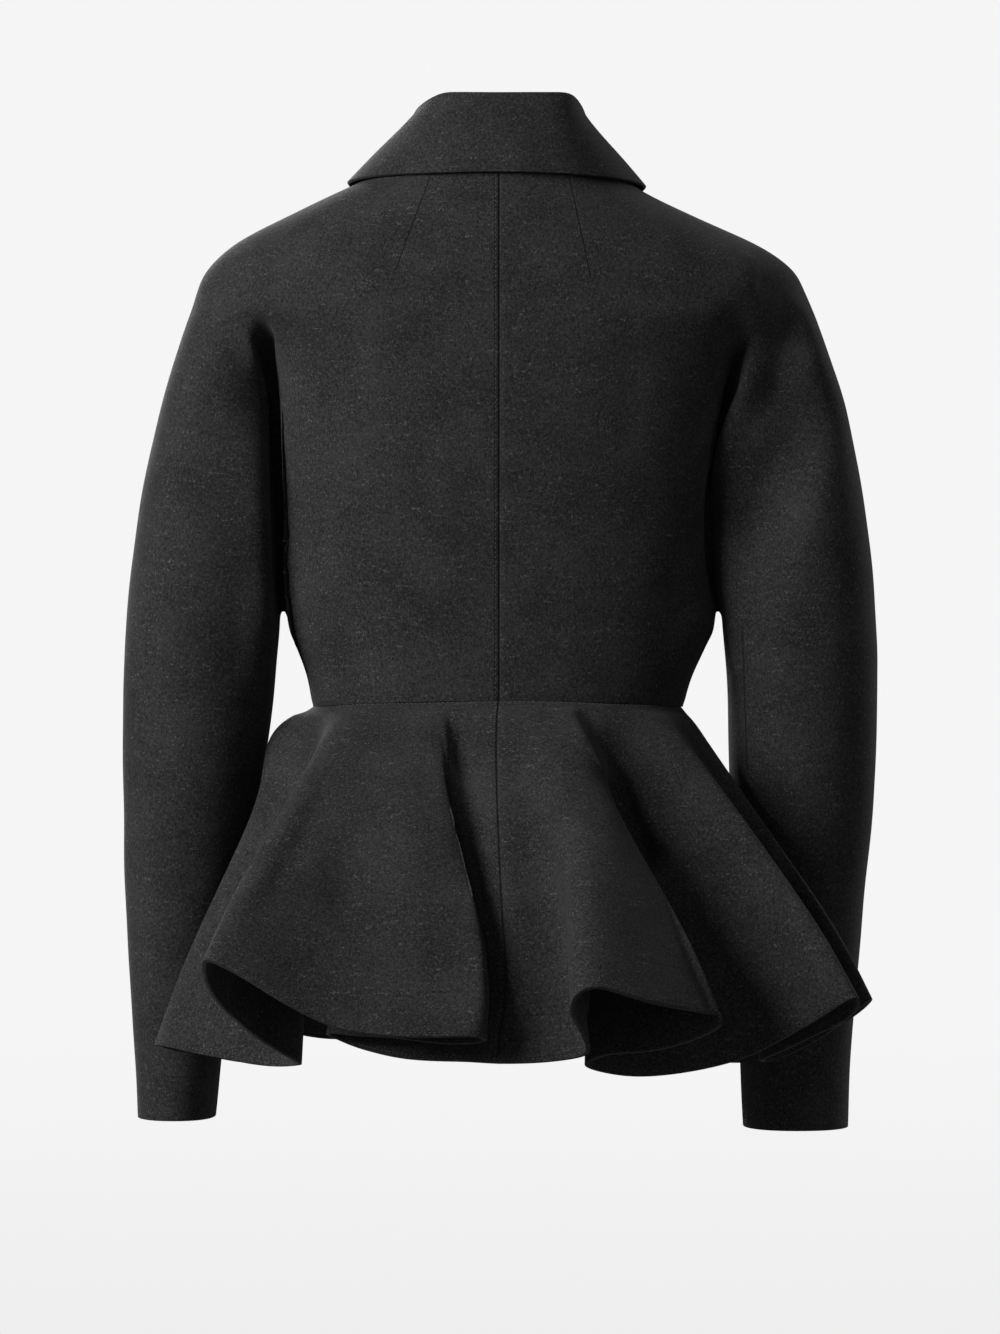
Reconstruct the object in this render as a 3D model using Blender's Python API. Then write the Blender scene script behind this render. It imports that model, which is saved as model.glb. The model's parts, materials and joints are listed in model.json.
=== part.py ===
# Peplum jacket of heavy charcoal wool, in the form that it has when worn.
# The jacket faces -Y and its back faces +Y; the wearer's left is +X. Up is +Z.
# The origin is at the middle of the neck opening, level with the seam at the back of the neck.
# Lengths in the tables below are in millimetres; the model is made in metres.

import math

import bmesh
import bpy
from mathutils import Vector

MM = 0.001

# Driving sizes of the cloth and its seams
WALL = 2.0
SEAM = 0.3
LAP_HALF_WIDTH = 14.0
LAP_DEPTH = WALL + 0.6
LAP_FADE_START = 30.0
LAP_FADE_END = 62.0

# Heights that several pieces share
UNDERARM_Z = -339.0
WAIST_Z_BACK = -396.0
WAIST_Z_SIDE = -400.0

# Columns of cloth from the middle of the body to the arm, and from the arm's crease to its outer side
TORSO_COLUMNS = 9
SLEEVE_COLUMNS = 8
CREASE_WIDTH = 5.0
CREASE_TOP_Y = 70.0

# How square the sections are: 1 is an ellipse, and less is squarer
TORSO_ROUND_X = 0.9
TORSO_ROUND_Y = 0.88
SLEEVE_ROUND = 0.9

# How far each of the first rings under the yoke has turned from the smooth outline to the creased one
CREASE_BLEND = (0.35, 0.7, 0.92)

# The upper bodice, a row for each ring from the neck seam to just under the shoulder.
# Each row gives the shoulder's reach on both sides and the height there,
# then the height and the depth at the middle of the back and of the front.
YOKE_FIELDS = ("reach_left", "reach_right", "shoulder_z", "back_z", "back_y", "front_z", "front_y", "power")
YOKE_ROWS = (
    (75, 75, -20, -4, 60, -80, -80, 2.0),
    (98, 92, -34, -24, 72, -87, -89, 2.05),
    (122, 110, -45, -44, 81, -93, -95, 2.1),
    (153, 142, -60, -62, 88, -99, -100, 2.2),
    (183, 178, -76, -80, 93, -105, -105, 2.3),
    (202, 203, -93, -96, 96, -110, -108, 2.4),
    (209.5, 212, -106, -108, 98, -115, -111, 2.4),
    (214, 218, -120, -120, 99, -120, -114, 2.4),
)

# The arm, a row for each height: where its sides are, how far forward it hangs and how deep it is
ARM_FIELDS = ("z", "out_left", "out_right", "in_left", "in_right", "middle_y", "half_depth")
ARM_ROWS = (
    (-120, 214, 218, 161, 167, 0, 66),
    (-143, 222, 226.5, 158.5, 165, 0, 63),
    (-185, 235, 241, 155.5, 160, 0, 61),
    (-227, 245, 250, 154, 156, 0, 60),
    (-269, 252.5, 257, 153, 154, 0, 59),
    (-311, 258, 261.5, 152.5, 153.5, 0, 58),
    (-339, 260.5, 263.5, 153, 156, 0, 57),
    (-372, 262.5, 265, 156, 159, -3, 57),
    (-416, 263.5, 264.5, 161, 161, -8, 55),
    (-460, 263.5, 263.5, 167.5, 162, -13, 53),
    (-520, 263.5, 258.5, 177, 164, -22, 51),
    (-580, 261, 253.5, 186, 167, -31, 49),
    (-640, 258, 249, 195, 170, -40, 47),
    (-700, 255, 247, 202, 173, -47, 46),
)

# The torso, a row for each height: its sides under the arm and its depth at the back and the front
TORSO_FIELDS = ("z", "side_left", "side_right", "back_y", "front_y")
TORSO_ROWS = (
    (-120, 161, 167, 99, -114),
    (-143, 158.5, 165, 102, -119),
    (-185, 155.5, 160, 103, -126),
    (-227, 154, 156.5, 100, -129),
    (-269, 153, 155, 96, -125),
    (-311, 152.5, 154.5, 92, -117),
    (-339, 148, 151, 89, -110),
    (-356, 143, 145.5, 88, -105),
    (-374, 135.5, 137, 87, -100),
    (-400, 129.5, 128, 86, -96),
)

# How deep the crease between arm and torso is at each height, from none to all the way through
CREASE_FIELDS = ("z", "depth")
CREASE_ROWS = ((-120, 0.0), (-143, 0.4), (-185, 0.58), (-227, 0.68), (-269, 0.78), (-311, 0.89), (-339, 1.0))

UPPER_HEIGHTS = (-132, -146, -163, -185, -210, -240, -272, -306, UNDERARM_Z)
TORSO_HEIGHTS = (-353, -367, -382)
SLEEVE_HEIGHTS = (-365, -395, -430, -470, -512, -556, -602, -650)
CUFF_Z = {"left": -690.0, "right": -697.0}

# The collar, a row for each place round it: the ring where it folds over, how many rings of the yoke
# its fall covers on each side, and how far inside the neck edge it is sewn
COLLAR_FIELDS = ("angle", "fold_x", "fold_y", "fold_z", "fall_left", "fall_right", "inset")
COLLAR_ROWS = (
    (0, 0, 60, 20, 1.52, 1.52, 4.1),
    (30, 37, 53, 20, 1.5, 1.52, 4.0),
    (60, 54.5, 27, 14, 1.35, 1.5, 3.2),
    (90, 58.5, -4, 5, 1.27, 1.5, 2.3),
    (120, 51, -35, -10, 1.4, 1.6, 2.6),
    (150, 32, -60, -28, 1.9, 2.0, 3.5),
    (180, 0, -72, -42, 2.5, 2.5, 4.4),
)
COLLAR_SEAM_DROP = 1.0
COLLAR_STANDOFF = 2.2
COLLAR_FOLD_RADIUS = 4.0
COLLAR_FOLD_TURNS = (0, 60, 120, 180)
COLLAR_FALL_PARTS = (0.33, 0.66, 1.0)
COLLAR_SWELL = 1.5
COLLAR_COLUMNS = 14
COLLAR_END_GAP = 5.0

# The peplum's hem in plan, a row for each ridge and valley, from the middle of the back forwards.
# Angle is the place on the waist that the fold hangs from, in degrees from the middle of the back.
HEM_FIELDS = ("angle", "x", "y")
HEM_LEFT = (
    (3.5, 26, 198),
    (7, 68, 182),
    (9, 96, 163),
    (10.5, 113, 162),
    (12.5, 114, 178),
    (15.5, 70, 199),
    (18, 18, 211),
    (19.2, 8, 220),
    (20.5, 18, 229),
    (27, 62, 230),
    (35, 112, 230),
    (43, 158, 233),
    (47.5, 188, 233),
    (50, 200, 224),
    (52, 199, 208),
    (55, 184, 188),
    (61, 146, 152),
    (64, 136, 130),
    (67, 150, 110),
    (72, 194, 86),
    (76, 228, 64),
    (79, 238, 46),
    (82, 226, 30),
    (90, 168, -2),
    (97, 152, -36),
    (104, 170, -84),
    (109, 190, -118),
    (112, 192, -136),
    (116, 176, -150),
    (124, 122, -152),
    (129, 101, -164),
    (134, 104, -192),
    (138, 106, -210),
    (142, 94, -221),
    (146, 78, -212),
    (152, 58, -186),
    (159, 44, -176),
    (168, 28, -182),
)
HEM_RIGHT = (
    (4, -24, 203),
    (7.5, -42, 206),
    (9.5, -54, 215),
    (11, -50, 232),
    (12.3, -44, 250),
    (13.8, -50, 266),
    (15.5, -68, 270),
    (17.5, -106, 254),
    (19.5, -140, 230),
    (20.5, -150, 216),
    (22, -142, 204),
    (24.5, -98, 194),
    (26.5, -72, 187),
    (28.5, -63, 177),
    (31, -76, 166),
    (37, -114, 150),
    (43, -164, 146),
    (47, -208, 161),
    (50, -234, 171),
    (52, -242, 164),
    (54, -234, 150),
    (59, -202, 130),
    (63, -180, 110),
    (67, -190, 94),
    (71, -226, 98),
    (74, -250, 112),
    (76, -258, 108),
    (79, -246, 86),
    (91, -164, 18),
    (98, -138, -24),
    (105, -150, -74),
    (110, -178, -116),
    (113, -182, -134),
    (117, -168, -148),
    (125, -118, -150),
    (130, -99, -162),
    (135, -102, -190),
    (139, -104, -207),
    (143, -92, -217),
    (147, -76, -208),
    (153, -56, -184),
    (160, -42, -176),
    (168, -28, -182),
)
HEM_MIDDLE_BACK = (0, 0, 201)
HEM_MIDDLE_FRONT = (180, 0, -188)
PEPLUM_CHORD = 262.0
PEPLUM_DROP_POWER = 1.47
PEPLUM_LEVELS = (0.0, 0.1, 0.24, 0.4, 0.56, 0.71, 0.86, 1.0)
PEPLUM_LAP_ANGLE = 5.0
PEPLUM_STEPS = {"back": 44, "front": 30}
PEPLUM_TURN_WEIGHT = 16.0
PEPLUM_SAMPLES = 600
PEPLUM_PROBE = 0.4
PEPLUM_LEVEL_PROBE = 0.02
PEPLUM_SOFTENING = 11.0
PEPLUM_SOFTENING_POWER = 1.15
PEPLUM_SOFTENING_TAPS = ((-1.0, 0.15), (-0.5, 0.22), (0.0, 0.26), (0.5, 0.22), (1.0, 0.15))

# Buttons down the middle of the front
BUTTON_RADIUS = 10.0
BUTTON_THICKNESS = 3.6
BUTTON_SEAT = 0.6
BUTTON_HEIGHTS = (-140.0, -218.0, -296.0, -374.0)
BUTTON_SIDES = 16


def clear_scene():
    for thing in list(bpy.data.objects):
        bpy.data.objects.remove(thing, do_unlink=True)


def cloth_material(name, shade):
    material = bpy.data.materials.new(name)
    material.use_nodes = True
    shader = material.node_tree.nodes["Principled BSDF"]
    shader.inputs["Base Color"].default_value = (shade, shade, shade * 1.03, 1.0)
    shader.inputs["Roughness"].default_value = 0.92
    shader.inputs["Metallic"].default_value = 0.0
    return material


def table(fields, rows):
    return [dict(zip(fields, row)) for row in rows]


def smooth_value(rows, key, name, at):
    """A smooth curve through a table's rows, read at one place along it."""
    if at >= max(rows[0][key], rows[-1][key]):
        return max(rows, key=lambda row: row[key])[name]
    ordered = sorted(rows, key=lambda row: row[key])
    if at <= ordered[0][key]:
        return ordered[0][name]
    for index in range(len(ordered) - 1):
        low, high = ordered[index], ordered[index + 1]
        if low[key] <= at <= high[key]:
            break
    before = ordered[max(index - 1, 0)]
    after = ordered[min(index + 2, len(ordered) - 1)]
    span = high[key] - low[key]
    t = (at - low[key]) / span
    slope_low = (high[name] - before[name]) / (high[key] - before[key]) * span
    slope_high = (after[name] - low[name]) / (after[key] - low[key]) * span
    return (
        (2 * t**3 - 3 * t**2 + 1) * low[name]
        + (t**3 - 2 * t**2 + t) * slope_low
        + (3 * t**2 - 2 * t**3) * high[name]
        + (t**3 - t**2) * slope_high
    )


def smooth_step(value):
    value = min(max(value, 0.0), 1.0)
    return value * value * (3 - 2 * value)


def bent(value, power):
    return math.copysign(abs(value) ** power, value)


YOKE = table(YOKE_FIELDS, YOKE_ROWS)
ARM = table(ARM_FIELDS, ARM_ROWS)
TORSO = table(TORSO_FIELDS, TORSO_ROWS)
CREASE = table(CREASE_FIELDS, CREASE_ROWS)
COLLAR = table(COLLAR_FIELDS, COLLAR_ROWS)
LAST_COLUMN = TORSO_COLUMNS + 1 + SLEEVE_COLUMNS


def waist_height(x, half_width):
    return WAIST_Z_BACK + (WAIST_Z_SIDE - WAIST_Z_BACK) * min((x / half_width) ** 2, 1.0)


# The bodice: each quarter of it is a grid of points from the body's middle to the arm's outer side


def hull_point(row, side, face, column):
    """A point of the smooth outline round body and arms, above the creases."""
    part = column / LAST_COLUMN
    turn = part * math.pi / 2
    power = 2 / row["power"]
    depth = row[face + "_y"]
    x = row["reach_" + side] * bent(math.sin(turn), power)
    y = depth * bent(math.cos(turn), power)
    blend = math.sin(turn) ** 2
    z = row[face + "_z"] * (1 - blend) + row["shoulder_z"] * blend
    return Vector((x, y, z))


def creased_point(z, side, face, column):
    """A point of the outline with the crease between torso and arm."""
    sign = 1 if face == "back" else -1
    crease_x = smooth_value(ARM, "z", "in_" + side, z)
    out_x = smooth_value(ARM, "z", "out_" + side, z)
    arm_y = smooth_value(ARM, "z", "middle_y", z)
    arm_depth = smooth_value(ARM, "z", "half_depth", z)
    torso_y = smooth_value(TORSO, "z", face + "_y", z)
    depth = smooth_value(CREASE, "z", "depth", z) if z > UNDERARM_Z else 1.0
    crease_y = sign * CREASE_TOP_Y * (1 - depth)
    if column <= TORSO_COLUMNS:
        side_x = smooth_value(TORSO, "z", "side_" + side, z)
        if z > UNDERARM_Z:
            side_x = crease_x - CREASE_WIDTH / 2
        turn = column / TORSO_COLUMNS * math.pi / 2
        x = side_x * bent(math.sin(turn), TORSO_ROUND_X)
        y = crease_y + (torso_y - crease_y) * bent(math.cos(turn), TORSO_ROUND_Y)
        height = waist_height(x, side_x) if z <= WAIST_Z_BACK else z
        return Vector((x, y, height))
    inner_x = crease_x + (CREASE_WIDTH / 2 if z > UNDERARM_Z else 0.0)
    if z <= UNDERARM_Z:
        crease_y = arm_y
    middle_x = (inner_x + out_x) / 2
    turn = (column - TORSO_COLUMNS - 1) / SLEEVE_COLUMNS * math.pi
    top_y = arm_y + sign * arm_depth
    base_y = crease_y if turn < math.pi / 2 else arm_y
    x = middle_x - (out_x - inner_x) / 2 * bent(math.cos(turn), SLEEVE_ROUND)
    y = base_y + (top_y - base_y) * bent(math.sin(turn), SLEEVE_ROUND)
    return Vector((x, y, z))


def upper_point(row_index, side, face, column):
    """A point of the bodice from the neck seam down to the underarm."""
    if row_index < len(YOKE):
        return hull_point(YOKE[row_index], side, face, column)
    step = row_index - len(YOKE)
    z = UPPER_HEIGHTS[step]
    creased = creased_point(z, side, face, column)
    if step >= len(CREASE_BLEND):
        return creased
    last = dict(YOKE[-1])
    last["reach_" + side] = smooth_value(ARM, "z", "out_" + side, z)
    last[face + "_y"] = smooth_value(TORSO, "z", face + "_y", z)
    last["shoulder_z"] = last[face + "_z"] = z
    return hull_point(last, side, face, column).lerp(creased, CREASE_BLEND[step])


UPPER_ROWS = len(YOKE) + len(UPPER_HEIGHTS)
UNDERARM_ROW = UPPER_ROWS - 1
TORSO_END_ROW = UNDERARM_ROW + len(TORSO_HEIGHTS) + 1
SLEEVE_END_ROW = UNDERARM_ROW + len(SLEEVE_HEIGHTS) + 1


def bodice_point(row, side, face, column):
    if row <= UNDERARM_ROW:
        return upper_point(row, side, face, column)
    step = row - UNDERARM_ROW - 1
    if column <= TORSO_COLUMNS:
        heights = TORSO_HEIGHTS + (WAIST_Z_BACK,)
        return creased_point(heights[min(step, len(heights) - 1)], side, face, column)
    heights = SLEEVE_HEIGHTS + (CUFF_Z[side],)
    return creased_point(heights[min(step, len(heights) - 1)], side, face, column)


def has_cell(row, column):
    """Whether the quarter has cloth between this row and column and the next ones."""
    if row < UNDERARM_ROW:
        return True
    if column < TORSO_COLUMNS:
        return row < TORSO_END_ROW
    return column > TORSO_COLUMNS and row < SLEEVE_END_ROW


def mirrored(point):
    return Vector((-point.x, point.y, point.z))


def bodice_neighbour(row, side, face, column, step):
    """The next point round the body, across a seam where the quarter ends there."""
    other = "front" if face == "back" else "back"
    wanted = column + step
    if wanted < 0:
        return mirrored(bodice_point(row, side, face, -wanted))
    if wanted > LAST_COLUMN:
        return bodice_point(row, side, other, LAST_COLUMN - 1)
    if row > UNDERARM_ROW and column == TORSO_COLUMNS and step > 0:
        return bodice_point(row, side, other, TORSO_COLUMNS - 1)
    if row > UNDERARM_ROW and column == TORSO_COLUMNS + 1 and step < 0:
        return bodice_point(row, side, other, TORSO_COLUMNS + 2)
    return bodice_point(row, side, face, wanted)


def bodice_normal(row, side, face, column):
    if row == UNDERARM_ROW and column in (TORSO_COLUMNS, TORSO_COLUMNS + 1):
        return Vector((1 if column == TORSO_COLUMNS else -1, 0, -1)).normalized()
    last_row = TORSO_END_ROW if column <= TORSO_COLUMNS else SLEEVE_END_ROW
    above = bodice_point(max(row - 1, 0), side, face, column)
    below = bodice_point(min(row + 1, last_row), side, face, column)
    before = bodice_neighbour(row, side, face, column, -1)
    after = bodice_neighbour(row, side, face, column, 1)
    normal = (after - before).cross(above - below)
    if face == "back":
        normal.negate()
    return normal.normalized()


def make_wall(name, outer, inner, cells, material):
    """A closed wall of cloth from its outer points, its inner points and the cells between them."""
    shape = bmesh.new()
    outer_verts = {}
    inner_verts = {}
    for cell in cells:
        for key in cell:
            if key not in outer_verts:
                outer_verts[key] = shape.verts.new(outer[key] * MM)
                inner_verts[key] = shape.verts.new(inner[key] * MM)
    border = {}
    for cell in cells:
        shape.faces.new([outer_verts[key] for key in cell])
        shape.faces.new([inner_verts[key] for key in reversed(cell)])
        for index, key in enumerate(cell):
            following = cell[(index + 1) % len(cell)]
            if (following, key) in border:
                del border[(following, key)]
            else:
                border[(key, following)] = True
    for first, second in border:
        shape.faces.new((outer_verts[second], outer_verts[first], inner_verts[first], inner_verts[second]))
    bmesh.ops.triangulate(shape, faces=shape.faces)
    bmesh.ops.recalc_face_normals(shape, faces=shape.faces)
    mesh = bpy.data.meshes.new(name)
    shape.to_mesh(mesh)
    shape.free()
    mesh.shade_smooth()
    mesh.set_sharp_from_angle(angle=math.radians(50))
    made = bpy.data.objects.new(name, mesh)
    bpy.context.scene.collection.objects.link(made)
    mesh.materials.append(material)
    return made


def lap_sink(x):
    """How far the left front lies under the right one, at this distance from the body's middle."""
    return LAP_DEPTH * (1 - smooth_step((x - LAP_FADE_START) / (LAP_FADE_END - LAP_FADE_START)))


def make_bodice_quarter(side, face, material):
    """One front or back of the bodice, with its half of the sleeve cut in one with it."""
    sign = 1 if side == "left" else -1
    toward = 1 if face == "back" else -1
    outer = {}
    inner = {}
    cells = []
    for row in range(SLEEVE_END_ROW + 1):
        for column in range(LAST_COLUMN + 1):
            if row > TORSO_END_ROW and column <= TORSO_COLUMNS:
                continue
            point = bodice_point(row, side, face, column)
            normal = bodice_normal(row, side, face, column)
            on_side_seam = row >= UNDERARM_ROW and column in (TORSO_COLUMNS, TORSO_COLUMNS + 1)
            if column == LAST_COLUMN or on_side_seam:
                point.y += toward * SEAM / 2
            if column == 0 and face == "back":
                point.x += SEAM / 2
            if face == "front" and side == "left" and column <= TORSO_COLUMNS:
                point -= normal * lap_sink(point.x)
            outer[(row, column)] = point
            inner[(row, column)] = point - normal * WALL
            if has_cell(row, column) and column < LAST_COLUMN:
                cells.append(((row, column), (row, column + 1), (row + 1, column + 1), (row + 1, column)))
        if face == "front" and row <= TORSO_END_ROW:
            add_lap_column(row, side, outer, inner)
            if row < TORSO_END_ROW:
                cells.append(((row, -1), (row, 0), (row + 1, 0), (row + 1, -1)))
    for points in (outer, inner):
        for point in points.values():
            point.x *= sign
    make_wall("bodice_" + face + "_" + side, outer, inner, cells, material)


def add_lap_column(row, side, outer, inner):
    """The strip of a front that passes the body's middle, under or over the other front."""
    for points in (outer, inner):
        middle = points[(row, 0)]
        beside = points[(row, 1)]
        share = min(LAP_HALF_WIDTH / beside.x, 1.0)
        points[(row, -1)] = Vector((
            -LAP_HALF_WIDTH,
            middle.y + (beside.y - middle.y) * share * share,
            middle.z + (beside.z - middle.z) * share * share,
        ))


# The collar: a band that stands up from the neck seam, folds over and falls outwards


def yoke_surface(reach, side, angle):
    """A point of the yoke's outer face, some rings out from the neck and some way round it."""
    index = min(int(reach), len(YOKE) - 2)
    share = reach - index
    row = {}
    for field in YOKE_FIELDS:
        row[field] = YOKE[index][field] * (1 - share) + YOKE[index + 1][field] * share
    face = "back" if angle <= 90 else "front"
    turn = angle if angle <= 90 else 180 - angle
    return hull_point(row, side, face, turn / 90 * LAST_COLUMN)


def fall_edge(place, side, angle):
    """The lower edge of the collar, where it rests on the yoke."""
    reach = place["fall_" + side]
    middle = yoke_surface(reach, side, angle)
    along = yoke_surface(reach, side, min(angle + 1, 180)) - yoke_surface(reach, side, max(angle - 1, 0))
    down = yoke_surface(reach + 0.2, side, angle) - yoke_surface(reach - 0.2, side, angle)
    normal = down.cross(along).normalized()
    if normal.z < 0:
        normal.negate()
    return middle + normal * (WALL + COLLAR_STANDOFF)


def stand_seam(place, side, angle):
    """The foot of the collar's stand, sewn just inside the neck edge."""
    neck = yoke_surface(0, side, angle)
    along = yoke_surface(0, side, min(angle + 1, 180)) - yoke_surface(0, side, max(angle - 1, 0))
    inward = Vector((along.y, -along.x, 0)).normalized()
    return neck + inward * place["inset"] - Vector((0, 0, COLLAR_SEAM_DROP))


def collar_section(angle, side):
    """Points up the inside of the collar, over its fold and down its outside."""
    place = {}
    for field in COLLAR_FIELDS[1:]:
        place[field] = smooth_value(COLLAR, "angle", field, angle)
    fold = Vector((place["fold_x"], place["fold_y"], place["fold_z"]))
    seam = stand_seam(place, side, angle)
    edge = fall_edge(place, side, angle)
    out = Vector((edge.x - seam.x, edge.y - seam.y, 0)).normalized()
    up = Vector((0, 0, 1))
    radius = COLLAR_FOLD_RADIUS
    points = [seam, seam.lerp(fold - out * radius, 0.5)]
    for turn in COLLAR_FOLD_TURNS:
        around = math.radians(turn)
        points.append(fold - out * radius * math.cos(around) + up * radius * math.sin(around))
    start = points[-1]
    for part in COLLAR_FALL_PARTS:
        swell = math.sin(part * math.pi) * COLLAR_SWELL
        points.append(start.lerp(edge, part) + (out + up).normalized() * swell)
    return points


def make_collar(material):
    rows = len(collar_section(0, "left"))
    outer = {}
    inner = {}
    cells = []
    last = 2 * COLLAR_COLUMNS
    ring = []
    for column in range(last + 1):
        part = column / COLLAR_COLUMNS - 1
        angle = 180 * part
        section = collar_section(abs(angle), "left" if angle >= 0 else "right")
        if angle < 0:
            section = [mirrored(point) for point in section]
        if column in (0, last):
            for point in section:
                point.x = math.copysign(COLLAR_END_GAP / 2, angle)
        ring.append(section)
    for column in range(last + 1):
        for row in range(rows):
            point = ring[column][row]
            along = ring[min(column + 1, last)][row] - ring[max(column - 1, 0)][row]
            across = ring[column][min(row + 1, rows - 1)] - ring[column][max(row - 1, 0)]
            normal = along.cross(across).normalized()
            outer[(row, column)] = point
            inner[(row, column)] = point - normal * WALL
            if row < rows - 1 and column < last:
                cells.append(((row, column), (row, column + 1), (row + 1, column + 1), (row + 1, column)))
    make_wall("collar", outer, inner, cells, material)


# The peplum: cloth that hangs in flares from the waist seam


def hem_ring():
    """The hem's rows all the way round, with angles that rise from the middle of the front on the right."""
    rows = [dict(zip(HEM_FIELDS, HEM_MIDDLE_BACK))]
    for row in HEM_LEFT:
        rows.append(dict(zip(HEM_FIELDS, row)))
    for row in HEM_RIGHT:
        turned = dict(zip(HEM_FIELDS, row))
        turned["angle"] = -turned["angle"]
        rows.append(turned)
    for end in (-180, 180):
        front = dict(zip(HEM_FIELDS, HEM_MIDDLE_FRONT))
        front["angle"] = end
        rows.append(front)
    return sorted(rows, key=lambda row: row["angle"])


HEM = hem_ring()


def waist_point(angle):
    side = "left" if angle >= 0 else "right"
    half_width = TORSO[-1]["side_" + side] - WALL
    turn = math.radians(angle)
    depth = TORSO[-1]["back_y"] - WALL if abs(angle) <= 90 else -TORSO[-1]["front_y"] - WALL
    x = half_width * bent(math.sin(turn), TORSO_ROUND_X)
    y = depth * bent(math.cos(turn), TORSO_ROUND_Y)
    return Vector((x, y, waist_height(x, half_width) - SEAM))


def hem_reach(angle):
    """How far the hem stands out from the waist at this angle, in plan."""
    waist = waist_point(angle)
    x = smooth_value(HEM, "angle", "x", angle)
    y = smooth_value(HEM, "angle", "y", angle)
    return Vector((x - waist.x, y - waist.y, 0))


def wrapped(angle):
    if angle > 180:
        return angle - 360
    if angle < -180:
        return angle + 360
    return angle


def peplum_point(angle, level):
    """A point of the peplum: level 0 is the waist seam and 1 is the hem."""
    spread = PEPLUM_SOFTENING * (1 - level) ** PEPLUM_SOFTENING_POWER
    reach = Vector((0, 0, 0))
    for shift, weight in PEPLUM_SOFTENING_TAPS:
        reach += hem_reach(wrapped(angle + shift * spread)) * weight
    waist = waist_point(wrapped(angle))
    drop = math.sqrt(PEPLUM_CHORD**2 - reach.length_squared)
    return waist + reach * level - Vector((0, 0, drop * level**PEPLUM_DROP_POWER))


def peplum_normal(angle, level):
    along = peplum_point(angle + PEPLUM_PROBE, level) - peplum_point(angle - PEPLUM_PROBE, level)
    above = peplum_point(angle, max(level - PEPLUM_LEVEL_PROBE, 0.0))
    below = peplum_point(angle, min(level + PEPLUM_LEVEL_PROBE, 1.0))
    return along.cross(below - above).normalized()


def spaced_angles(start, end, steps):
    """Angles from start to end whose points are even along the hem, and closer together where it turns."""
    points = []
    for index in range(PEPLUM_SAMPLES + 2):
        angle = start + (end - start) * index / PEPLUM_SAMPLES
        points.append(peplum_point(angle, 1.0))
    lengths = [0.0]
    for index in range(PEPLUM_SAMPLES):
        run = points[index + 1] - points[index]
        following = points[index + 2] - points[index + 1]
        lengths.append(lengths[-1] + run.length + PEPLUM_TURN_WEIGHT * run.angle(following, 0.0))
    angles = []
    place = 0
    for step in range(steps + 1):
        wanted = lengths[-1] * step / steps
        while place < PEPLUM_SAMPLES - 1 and lengths[place + 1] < wanted:
            place += 1
        share = (wanted - lengths[place]) / (lengths[place + 1] - lengths[place])
        angles.append(start + (end - start) * (place + share) / PEPLUM_SAMPLES)
    return angles


def make_peplum_panel(side, face, material):
    sign = 1 if side == "left" else -1
    if face == "back":
        start, end = 0.0, 90.0
    else:
        start, end = 90.0, 180.0
    angles = spaced_angles(sign * start, sign * end, PEPLUM_STEPS[face])
    if face == "front":
        angles.append(sign * (180 + PEPLUM_LAP_ANGLE))
    outer = {}
    inner = {}
    cells = []
    for row, level in enumerate(PEPLUM_LEVELS):
        for column, angle in enumerate(angles):
            point = peplum_point(angle, level)
            normal = peplum_normal(angle, level)
            ahead = peplum_point(angle + PEPLUM_PROBE / 4, level)
            along = (ahead - peplum_point(angle - PEPLUM_PROBE / 4, level)).normalized()
            if column == 0:
                point += along * sign * SEAM / 2
            if face == "back" and column == len(angles) - 1:
                point -= along * sign * SEAM / 2
            if face == "front" and side == "left":
                point -= normal * lap_sink(abs(waist_point(wrapped(angle)).x) if angle < 180 else 0.0)
            outer[(row, column)] = point
            inner[(row, column)] = point - normal * WALL
            if row < len(PEPLUM_LEVELS) - 1 and column < len(angles) - 1:
                cells.append(((row, column), (row, column + 1), (row + 1, column + 1), (row + 1, column)))
    make_wall("peplum_" + face + "_" + side, outer, inner, cells, material)


# The buttons


def front_place(z):
    """The outer face of the upper front at the body's middle, and the way that it faces."""
    for row in range(TORSO_END_ROW):
        upper = bodice_point(row, "right", "front", 0)
        lower = bodice_point(row + 1, "right", "front", 0)
        if upper.z >= z >= lower.z:
            break
    run = lower - upper
    normal = Vector((0, run.z, -run.y)).normalized()
    return upper + run * ((z - upper.z) / run.z) + normal * BUTTON_SEAT, normal


def make_button(index, z, material):
    place, normal = front_place(z)
    shape = bmesh.new()
    rings = ((0.86, 0.0), (1.0, 0.25), (1.0, 0.75), (0.88, 1.0))
    loops = []
    for radius, height in rings:
        loop = []
        for step in range(BUTTON_SIDES):
            turn = 2 * math.pi * step / BUTTON_SIDES
            loop.append(shape.verts.new((
                BUTTON_RADIUS * radius * math.cos(turn) * MM,
                BUTTON_RADIUS * radius * math.sin(turn) * MM,
                BUTTON_THICKNESS * height * MM,
            )))
        loops.append(loop)
    for lower, upper in zip(loops, loops[1:]):
        for step in range(BUTTON_SIDES):
            after = (step + 1) % BUTTON_SIDES
            shape.faces.new((lower[step], lower[after], upper[after], upper[step]))
    shape.faces.new(list(reversed(loops[0])))
    shape.faces.new(loops[-1])
    turn_to_face = normal.to_track_quat("Z", "Y").to_matrix().to_4x4()
    bmesh.ops.transform(shape, matrix=turn_to_face, verts=shape.verts)
    mesh = bpy.data.meshes.new("button_" + str(index))
    shape.to_mesh(mesh)
    shape.free()
    mesh.shade_smooth()
    mesh.set_sharp_from_angle(angle=math.radians(40))
    mesh.materials.append(material)
    made = bpy.data.objects.new("button_" + str(index), mesh)
    made.location = place * MM
    bpy.context.scene.collection.objects.link(made)


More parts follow.
